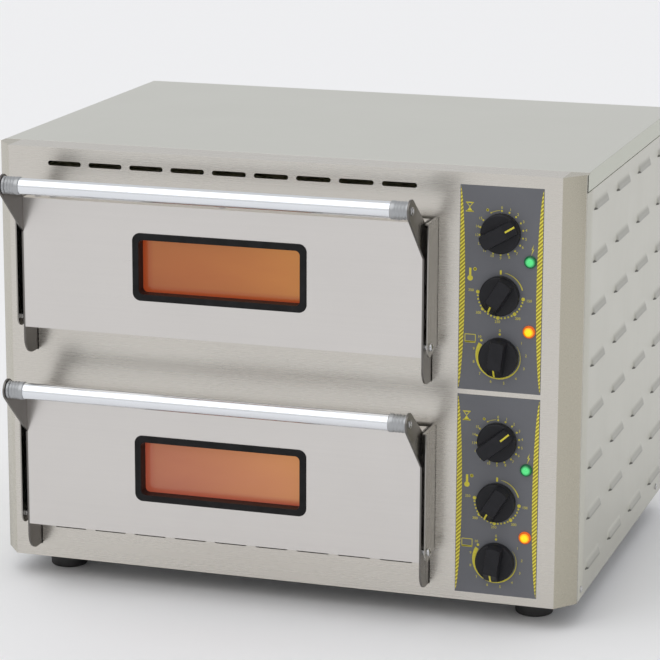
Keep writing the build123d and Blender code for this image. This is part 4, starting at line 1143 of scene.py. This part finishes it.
# figure, distance from the dial's axis, and how far it stands above its own dot
TEMPERATURES = (
    ("150", 0.0315, -0.0008),
    ("200", 0.0305, -0.0005),
    ("250", 0.0292, 0.0),
    ("300", 0.031, -0.0008),
    ("350", 0.0325, 0.0008),
)


def thermostat_marks(centre):
    """A bar at zero, a line that swells to the right, then dots with a larger one at every figure."""
    outlines = [strip([polar(centre, 0.0226, 0), polar(centre, 0.0272, 0)], 0.0021)]
    count = 40
    swell = np.interp(np.linspace(0, 1, count), [0, 0.15, 1], [0.00012, 0.0003, 0.00062])
    outlines.append(arc_band(centre, 10, 74, 0.0249 - swell, 0.0249 + swell, count))
    degrees = np.linspace(96, 275, 21)
    for index, angle in enumerate(degrees):
        outlines.append(dot(polar(centre, 0.0249, angle), 0.002 if index % 5 == 0 else 0.00105))
    figures = []
    for index, (text, reach, shift) in enumerate(TEMPERATURES):
        figures.append((text, polar(centre, reach, degrees[5 * index]) + np.array([0.0, shift])))
    return outlines, figures


def regulator_marks(centre):
    """A dot at zero and a crescent that grows clockwise from thin to thick, with its ten steps."""
    outlines = [dot(polar(centre, 0.0247, 0), 0.0013), dot(polar(centre, 0.0262, -50), 0.0014)]
    count = 80
    share = np.linspace(0, 1, count)
    inner = np.full(count, 0.0226)
    outer = 0.0228 + 0.0042 * share**1.1
    outlines.append(arc_band(centre, 55, 302, inner, outer, count))
    steps = np.linspace(55, 284, 9)
    figures = [(str(k + 1), polar(centre, 0.0292, angle)) for k, angle in enumerate(steps)]
    figures += [("0", polar(centre, 0.0286, 0)), ("10", polar(centre, 0.0302, -47))]
    return outlines, figures


def yellow_print(name, colour):
    """Screen-printed ink: slightly uneven in tone and thickness."""
    warm = tinted(colour, 0.86, 0.84, 0.8)
    return grainy(name, colour, warm, 0.45, 1800.0, 500.0, 0.00001, 0.1)


def hatched_print(name, colour):
    """Ink in slanted stripes: a sine wave of Z less X, cut to a soft edge, between two yellows."""
    shader = Shader(name)
    split = shader.node("ShaderNodeSeparateXYZ", {"Vector": shader.place()}).outputs
    slant = maths(shader.tree, "SUBTRACT", split[2], split[0])
    wave = maths(shader.tree, "SINE", maths(shader.tree, "MULTIPLY", slant, 2 * math.pi / 0.0042))
    stripe = remap(shader.tree, wave, -0.25, 0.25, 0.0, 1.0)
    dark, light = tinted(colour, 0.42, 0.37, 0.25), tinted(colour, 1.12, 1.12, 1.6)
    shader.feed("Base Color", blend_colours(shader.tree, stripe, dark, light))
    shader.feed("Roughness", remap(shader.tree, stripe, 0.0, 1.0, 0.5, 0.4))
    shader.bump(stripe, 0.00001)
    return shader


class OVEN_OT_labels(Operator):
    """Builds the two dark control labels and everything printed on them."""

    bl_idname = "oven.labels"
    bl_label = "Control labels"

    def execute(self, context):
        dials, finish = context.scene.oven_dials, context.scene.oven_finish
        grey, pale = tuple(finish.label_colour), tinted(finish.label_colour, 1.12)
        foil = finish_of("Label foil", grainy, grey, pale, 0.5, 1600.0, 18.0, 0.00001, 0.08)
        ink = finish_of("Yellow ink", yellow_print, tuple(finish.print_colour))
        hatch = finish_of("Hatched ink", hatched_print, tuple(finish.print_colour))
        front, back = LABEL_FACE - dials.print_height, LABEL_FACE
        for deck in DECKS:
            label = deck + "_label"
            softened(deck + "_control_label", label + "_foil", CABINET, 0.00012, foil, 1)
            bands = [prism(outline, front, back) for outline in side_bands(deck)]
            made_piece(label + "_bands", bands, CABINET, hatch)
            surfaces = [prism(outline, front, back) for outline in self.outlines(deck)]
            surfaces += [
                figure_surfaces(text, place, dials.figure_size, front, back)
                for text, place in self.figures(deck)
            ]
            made_piece(label + "_print", surfaces, CABINET, ink, weld=1e-8)
        return {"FINISHED"}

    def marks(self, deck):
        """Outlines and figures of the three dials."""
        makers = {"timer": timer_marks, "thermostat": thermostat_marks, "regulator": regulator_marks}
        return [makers[kind](dial_centre(deck, kind)) for kind in DIALS]

    def outlines(self, deck):
        """Every printed outline of a deck's label."""
        found = [outline for outlines, _ in self.marks(deck) for outline in outlines]
        x, timer_z = dial_centre(deck, "timer")
        thermostat_z = dial_centre(deck, "thermostat")[1]
        regulator_z = dial_centre(deck, "regulator")[1]
        found += hourglass(x - 0.035, timer_z + 0.0262, 0.0095)
        found += thermometer(x - 0.0335, thermostat_z + 0.0215, 0.0125)
        found += bolt(x + 0.034, timer_z - 0.0165, 0.0125)
        found += plate_sign(x - 0.0325, regulator_z + 0.0185, 0.0115)
        return found

    def figures(self, deck):
        """Every printed figure of a deck's label."""
        return [figure for _, figures in self.marks(deck) for figure in figures]


# ------------------------------------------------------------------ knobs
def smoothed_step(value):
    """3 v^2 - 2 v^3 on a value held between 0 and 1."""
    held = np.clip(value, 0.0, 1.0)
    return held * held * (3.0 - 2.0 * held)


def bar_height(along, across, settings):
    """Height of the grip bar above a knob's skirt.
    Flat from its tail to well past the middle, then a straight slope down to the pointer end;
    its sides fall off over a millimetre and its tail follows the rim."""
    slope = 1.0 - 0.8 * np.clip((along - 0.0095) / 0.011, 0.0, 1.0)
    sides = smoothed_step((settings.grip_width / 2 + 0.0006 - np.abs(across)) / 0.0014)
    rim = smoothed_step((0.0207 - np.hypot(along, across)) / 0.0011)
    return settings.grip_height * slope * sides * rim


def knob_surface(centre, back, degrees, settings):
    """A knob as a profile carried round its axis, with the grip bar added to its top.
    The profile goes from the back's middle out, up the skirt, over a quarter round and back in.
    Each top point rises by the bar's height at its distance along and across the pointer."""
    radius, skirt, rounding = KNOB_RADIUS, settings.skirt_height, 0.0018
    quarter = np.linspace(0, np.pi / 2, 7)
    rounded_r = radius - rounding + rounding * np.cos(quarter)
    rounded_h = skirt - rounding + rounding * np.sin(quarter)
    top_r = np.linspace(radius - rounding, 0.0, 64)[1:]
    top_h = skirt + 0.0005 * (1.0 - (top_r / radius) ** 2)
    r = np.concatenate([[0.0, radius - 0.0005, radius], [radius], rounded_r[1:], top_r])
    h = np.concatenate([[0.0, 0.0, 0.0005], [skirt - rounding], rounded_h[1:], top_h])
    angle = np.linspace(0, 2 * np.pi, settings.turns, endpoint=False)
    along, across = r[:, None] * np.cos(angle), r[:, None] * np.sin(angle)
    height = np.repeat(h[:, None], len(angle), axis=1)
    top = np.arange(len(r)) >= 4
    height[top] += bar_height(along[top], across[top], settings)
    turn = math.radians(degrees)
    x = centre[0] + along * math.sin(turn) + across * math.cos(turn)
    z = centre[1] + along * math.cos(turn) - across * math.sin(turn)
    return np.stack([x, back - height, z], axis=2), grid_faces(len(r), len(angle), closed_columns=True)


def pointer_surface(centre, back, degrees, settings):
    """The yellow line let into the bar's slope: a thin closed box that follows the slope's height."""
    along = np.linspace(0.0103, 0.0194, 13)
    top = settings.skirt_height + 0.0005 + bar_height(along, 0.0 * along, settings) + 0.00008
    half, depth = 0.00095, 0.0006
    section = [(-half, 0.0), (half, 0.0), (half, -depth), (-half, -depth)]
    turn = math.radians(degrees)
    across = np.array([side for side, _ in section])[None, :]
    height = top[:, None] + np.array([drop for _, drop in section])[None, :]
    x = centre[0] + along[:, None] * math.sin(turn) + across * math.cos(turn)
    z = centre[1] + along[:, None] * math.cos(turn) - across * math.sin(turn)
    faces = grid_faces(13, 4, closed_columns=True).tolist() + [[0, 1, 2, 3], [51, 50, 49, 48]]
    return np.stack([x, back - height, z], axis=2), faces


class OVEN_OT_knobs(Operator):
    """Builds the six knobs, their pointer lines and the spindles behind them."""

    bl_idname = "oven.knobs"
    bl_label = "Knobs"

    def execute(self, context):
        settings, finish = context.scene.oven_dials, context.scene.oven_finish
        black, pale = tuple(finish.knob_colour), tinted(finish.knob_colour, 1.5)
        phenolic = finish_of(
            "Knob phenolic", grainy, black, pale, 0.4, 1500.0, 90.0, 0.00003, 0.12, gloss=0.22
        )
        ink = finish_of("Yellow ink", yellow_print, tuple(finish.print_colour))
        steel = plain_finish("Bright screw")
        for deck in DECKS:
            for kind in DIALS:
                name = f"{deck}_{kind}"
                body = name + "_dial"
                centre, back = dial_centre(deck, kind), high(name + "_knob")[1]
                degrees = DIAL_SET[(deck, kind)]
                knob = [knob_surface(centre, back, degrees, settings)]
                made_piece(name + "_grip_knob", knob, body, phenolic, [name + "_knob"], 50.0)
                pointer = [pointer_surface(centre, back, degrees, settings)]
                made_piece(name + "_pointer", pointer, body, ink)
                dress(name + "_spindle", steel)
        return {"FINISHED"}


# ------------------------------------------------------------------ pilot lamps
def lit_lens(name, bright, rim, strength):
    """A lit lens: brightest in the middle of its face, dark and deep-coloured at its rim.
    The lens's own UV map carries the distance from its axis, from 0 in the middle to 1 at the rim."""
    shader = Shader(name)
    reach = shader.node("ShaderNodeUVMap", uv_map="reach").outputs["UV"]
    share = shader.node("ShaderNodeSeparateXYZ", {"Vector": reach}).outputs[0]
    voronoi = shader.node("ShaderNodeTexVoronoi", {"Vector": shader.place(), "Scale": 900.0})
    cells = voronoi.outputs["Distance"]
    wavy = maths(shader.tree, "ADD", share, maths(shader.tree, "MULTIPLY", cells, 0.12))
    fade = remap(shader.tree, wavy, 0.52, 0.9, 0.0, 1.0)
    lit = blend_colours(shader.tree, fade, bright, rim)
    shader.feed("Base Color", lit)
    shader.feed("Emission Color", lit)
    shader.feed("Emission Strength", strength)
    shader.feed("Roughness", remap(shader.tree, cells, 0.0, 1.0, 0.2, 0.35))
    shader.bump(cells, 0.00008)
    return shader


class OVEN_OT_pilots(Operator):
    """Builds the lit pilot lamps."""

    bl_idname = "oven.pilots"
    bl_label = "Pilot lamps"

    def execute(self, context):
        green = finish_of("Green lens", lit_lens, (0.06, 0.5, 0.15), (0.0, 0.06, 0.02), 0.75)
        amber = finish_of("Amber lens", lit_lens, (1.0, 0.5, 0.0), (0.45, 0.07, 0.0), 0.85)
        for colour, lens in (("green", green), ("amber", amber)):
            node = colour + "_pilot_lamps"
            x = middle(node)[0]
            spots = (low(node)[2] + PILOT_RADIUS, high(node)[2] - PILOT_RADIUS)
            dome = np.linspace(0, np.pi / 2, 12)[1:]
            profile = [(0.0, 0.0257), (0.0058, 0.0257), (0.0058, 0.0), (PILOT_RADIUS, 0.0)]
            profile += [(PILOT_RADIUS, -0.0011), (0.0066, -0.0014), (0.0062, -0.0015)]
            profile += list(zip(0.0062 * np.cos(dome), -0.0015 - 0.0026 * np.sin(dome)))
            surfaces = [turned(profile, (x, LABEL_FACE, z), (0, 1, 0), 56) for z in spots]
            name, slot = colour + "_pilot_lenses", "pilot_" + colour
            lamps = made_piece(name, surfaces, CABINET, lens, [node], 50.0)
            self.measure_reach(lamps, x, spots)
        return {"FINISHED"}

    def measure_reach(self, lamps, x, spots):
        """Writes each corner's distance from its lamp's axis into the UV map, over the lens radius."""
        mesh = lamps.data
        points = mesh_points(mesh)
        z = np.where(np.abs(points[:, 2] - spots[0]) < 0.05, spots[0], spots[1])
        reach = np.hypot(points[:, 0] - x, points[:, 2] - z) / PILOT_RADIUS
        corners = np.zeros(len(mesh.loops), int)
        mesh.loops.foreach_get("vertex_index", corners)
        layer = mesh.uv_layers.new(name="reach")
        values = np.stack([reach[corners], np.zeros(len(corners))], axis=1)
        layer.data.foreach_set("uv", values.ravel())


# ------------------------------------------------------------------ inside
def glowing_rod(name):
    """Oxidised sheath of a heating rod that has begun to glow."""
    shader = grainy(name, (0.1, 0.05, 0.035), (0.2, 0.1, 0.06), 0.7, 1800.0, 90.0, 0.0001, 0.2, 0.6)
    haze = noise(shader.tree, shader.place(), 14.0, 2.0, 0.5)
    share = remap(shader.tree, haze, 0.35, 0.65, 0.0, 1.0)
    shader.feed("Emission Color", blend_colours(shader.tree, share, (0.5, 0.05, 0.0), (0.9, 0.16, 0.02)))
    shader.feed("Emission Strength", 0.8)
    return shader


def lamp_glass(name):
    """Frosted lens of the chamber lamp, lit."""
    shader = grainy(name, (0.9, 0.7, 0.5), (1.0, 0.8, 0.6), 0.3, 1500.0, 60.0, 0.00005)
    haze = noise(shader.tree, shader.place(), 60.0, 2.0, 0.5)
    share = remap(shader.tree, haze, 0.3, 0.7, 0.0, 1.0)
    shader.feed("Emission Color", blend_colours(shader.tree, share, (1.0, 0.5, 0.18), (1.0, 0.62, 0.28)))
    shader.feed("Emission Strength", 2.5)
    return shader


class OVEN_OT_inside(Operator):
    """Finishes the chambers, stones, heating rods, wool, switches and wiring block."""

    bl_idname = "oven.inside"
    bl_label = "Chambers and switchgear"

    def execute(self, context):
        sheet = context.scene.oven_sheet
        pan = plain_finish("Aluminised steel")
        liner = plain_finish("Heat-tinted liner")
        stone = plain_finish("Refractory stone")
        wool = plain_finish("Mineral wool")
        rod = finish_of("Heating rod", glowing_rod)
        lamp = finish_of("Chamber lamp", lamp_glass)
        body = plain_finish("Switch body")
        ceramic = plain_finish("Terminal ceramic")
        probe = finish_of("Probe steel", brushed, (0.5, 0.49, 0.47), 0.3, ALONG_X, 0.1, 0.1)
        for deck in DECKS:
            dress(deck + "_heating_elements", rod)
            dress(deck + "_insulation", wool)
            chamber, slab = deck + "_chamber", deck + "_stone_slab"
            softened(chamber, chamber + "_liner", CABINET, sheet.edge_radius, liner)
            softened(deck + "_baking_stone", slab, CABINET, 0.0016, stone, 3)
        dress("thermostat_probes", probe)
        dress("chamber_lamps", lamp)
        for kind in DIALS:
            softened(kind + "s", kind + "_switches", CABINET, 0.0006, body, 2)
        softened("terminal_block", "wiring_block", CABINET, 0.0005, ceramic, 2)
        nylon = plain_finish("Gland nylon")
        softened("cable_gland", "cable_inlet_gland", CABINET, 0.0006, nylon, 3)
        return {"FINISHED"}


# ------------------------------------------------------------------ feet
class OVEN_OT_feet(Operator):
    """Builds the four moulded feet with their studs."""

    bl_idname = "oven.feet"
    bl_label = "Feet"

    def execute(self, context):
        rubber = plain_finish("Foot rubber")
        node = "feet"
        reach = 0.0225
        inset_x, inset_y = high(node)[0] - reach, (low(node)[1] + reach, high(node)[1] - reach)
        t = np.linspace(0, np.pi / 2, 6)
        foot = [(0.0, 0.0), (0.0185, 0.0)]
        foot += [(0.0185 + 0.0025 * math.sin(a), 0.0025 - 0.0025 * math.cos(a)) for a in t[1:]]
        foot += [(0.0214, 0.012), (0.0208, 0.0135), (0.0208, 0.0145), (0.0216, 0.016)]
        foot += [(0.0225 - 0.0009 * math.cos(a), 0.0255 + 0.0015 * math.sin(a)) for a in t[::-1]]
        foot += [(0.0205, 0.028), (0.004, 0.028), (0.004, 0.0395), (0.0035, 0.04), (0.0, 0.04)]
        foot = [(min(r, reach), z) for r, z in foot]
        places = [(x, y, 0.0) for x in (-inset_x, inset_x) for y in inset_y]
        feet = [turned(foot, place, (0, 0, 1), 56) for place in places]
        made_piece("moulded_feet", feet, CABINET, rubber, [node], SHARP)
        return {"FINISHED"}


# ------------------------------------------------------------------ studio
def pale_floor(name, colour):
    """Matt pale sweep with a barely uneven tone."""
    return grainy(name, colour, tinted(colour, 0.995), 0.75, 60.0, 0.8, 0.00002, 0.05)


class OVEN_OT_studio(Operator):
    """Builds the pale floor, the soft lights and the camera."""

    bl_idname = "oven.studio"
    bl_label = "Studio"

    def execute(self, context):
        scene, studio = context.scene, context.scene.oven_studio
        half = 30.0
        corners = np.array([(-half, -half, 0), (half, -half, 0), (half, half, 0), (-half, half, 0)])
        floor = mesh_object("floor", [(corners, [[0, 1, 2, 3]])], flat=True)
        floor.data.materials.append(finish_of("Pale floor", pale_floor, tuple(studio.floor_colour)))
        world = bpy.data.worlds.new("Soft dome")
        world.use_nodes = True
        dome = world.node_tree.nodes["Background"]
        dome.inputs["Color"].default_value = (0.985, 0.99, 1.0, 1.0)
        dome.inputs["Strength"].default_value = studio.dome_strength
        scene.world = world
        self.sun("Key light", (-1.0, -1.6, 2.6), 75.0, studio.key_strength)
        self.camera(context, studio.lens)
        scene.view_settings.view_transform = "Standard"
        return {"FINISHED"}

    def sun(self, name, place, spread, strength):
        """A very wide sun, which shades softly and lights the floor evenly."""
        lamp = bpy.data.lights.new(name, "SUN")
        lamp.angle = math.radians(spread)
        lamp.energy = strength
        holder = linked(name, lamp)
        holder.location = place
        holder.rotation_euler = (-Vector(place)).to_track_quat("-Z", "Y").to_euler()

    def camera(self, context, lens):
        """A long lens to the right of the oven's front and a little above it."""
        data = bpy.data.cameras.new("Camera")
        data.lens = lens
        data.sensor_width = 36.0
        data.clip_end = 200.0
        eye = linked("Camera", data)
        eye.location = (0.973448, -3.086031, 1.042477)
        eye.rotation_euler = (math.radians(76.515), math.radians(-0.208), math.radians(17.680))
        context.scene.camera = eye


# ------------------------------------------------------------------ sidebar
class OVEN_PT_parts(Panel):
    """Lists the oven's pieces in the 3D view's sidebar."""

    bl_idname = "OVEN_PT_parts"
    bl_label = "Pizza oven"
    bl_space_type = "VIEW_3D"
    bl_region_type = "UI"
    bl_category = "Pizza Oven"

    def draw(self, context):
        for operator in PIECES:
            self.layout.operator(operator.bl_idname)


PIECES = (
    OVEN_OT_body,
    OVEN_OT_side_panels,
    OVEN_OT_doors,
    OVEN_OT_handles,
    OVEN_OT_hinges,
    OVEN_OT_labels,
    OVEN_OT_knobs,
    OVEN_OT_pilots,
    OVEN_OT_inside,
    OVEN_OT_feet,
    OVEN_OT_studio,
)
SETTINGS = {
    "oven_sheet": OvenSheetSettings,
    "oven_dials": OvenDialSettings,
    "oven_finish": OvenFinishSettings,
    "oven_studio": OvenStudioSettings,
}


def register():
    for settings in SETTINGS.values():
        bpy.utils.register_class(settings)
    for name, settings in SETTINGS.items():
        setattr(bpy.types.Scene, name, PointerProperty(type=settings))
    for operator in PIECES:
        bpy.utils.register_class(operator)
    bpy.utils.register_class(OVEN_PT_parts)


def unregister():
    bpy.utils.unregister_class(OVEN_PT_parts)
    for operator in reversed(PIECES):
        bpy.utils.unregister_class(operator)
    for name in SETTINGS:
        delattr(bpy.types.Scene, name)
    for settings in reversed(SETTINGS.values()):
        bpy.utils.unregister_class(settings)


def main():
    register()
    for operator in PIECES:
        family, piece = operator.bl_idname.split(".")
        getattr(getattr(bpy.ops, family), piece)()


if __name__ == "__main__":
    main()
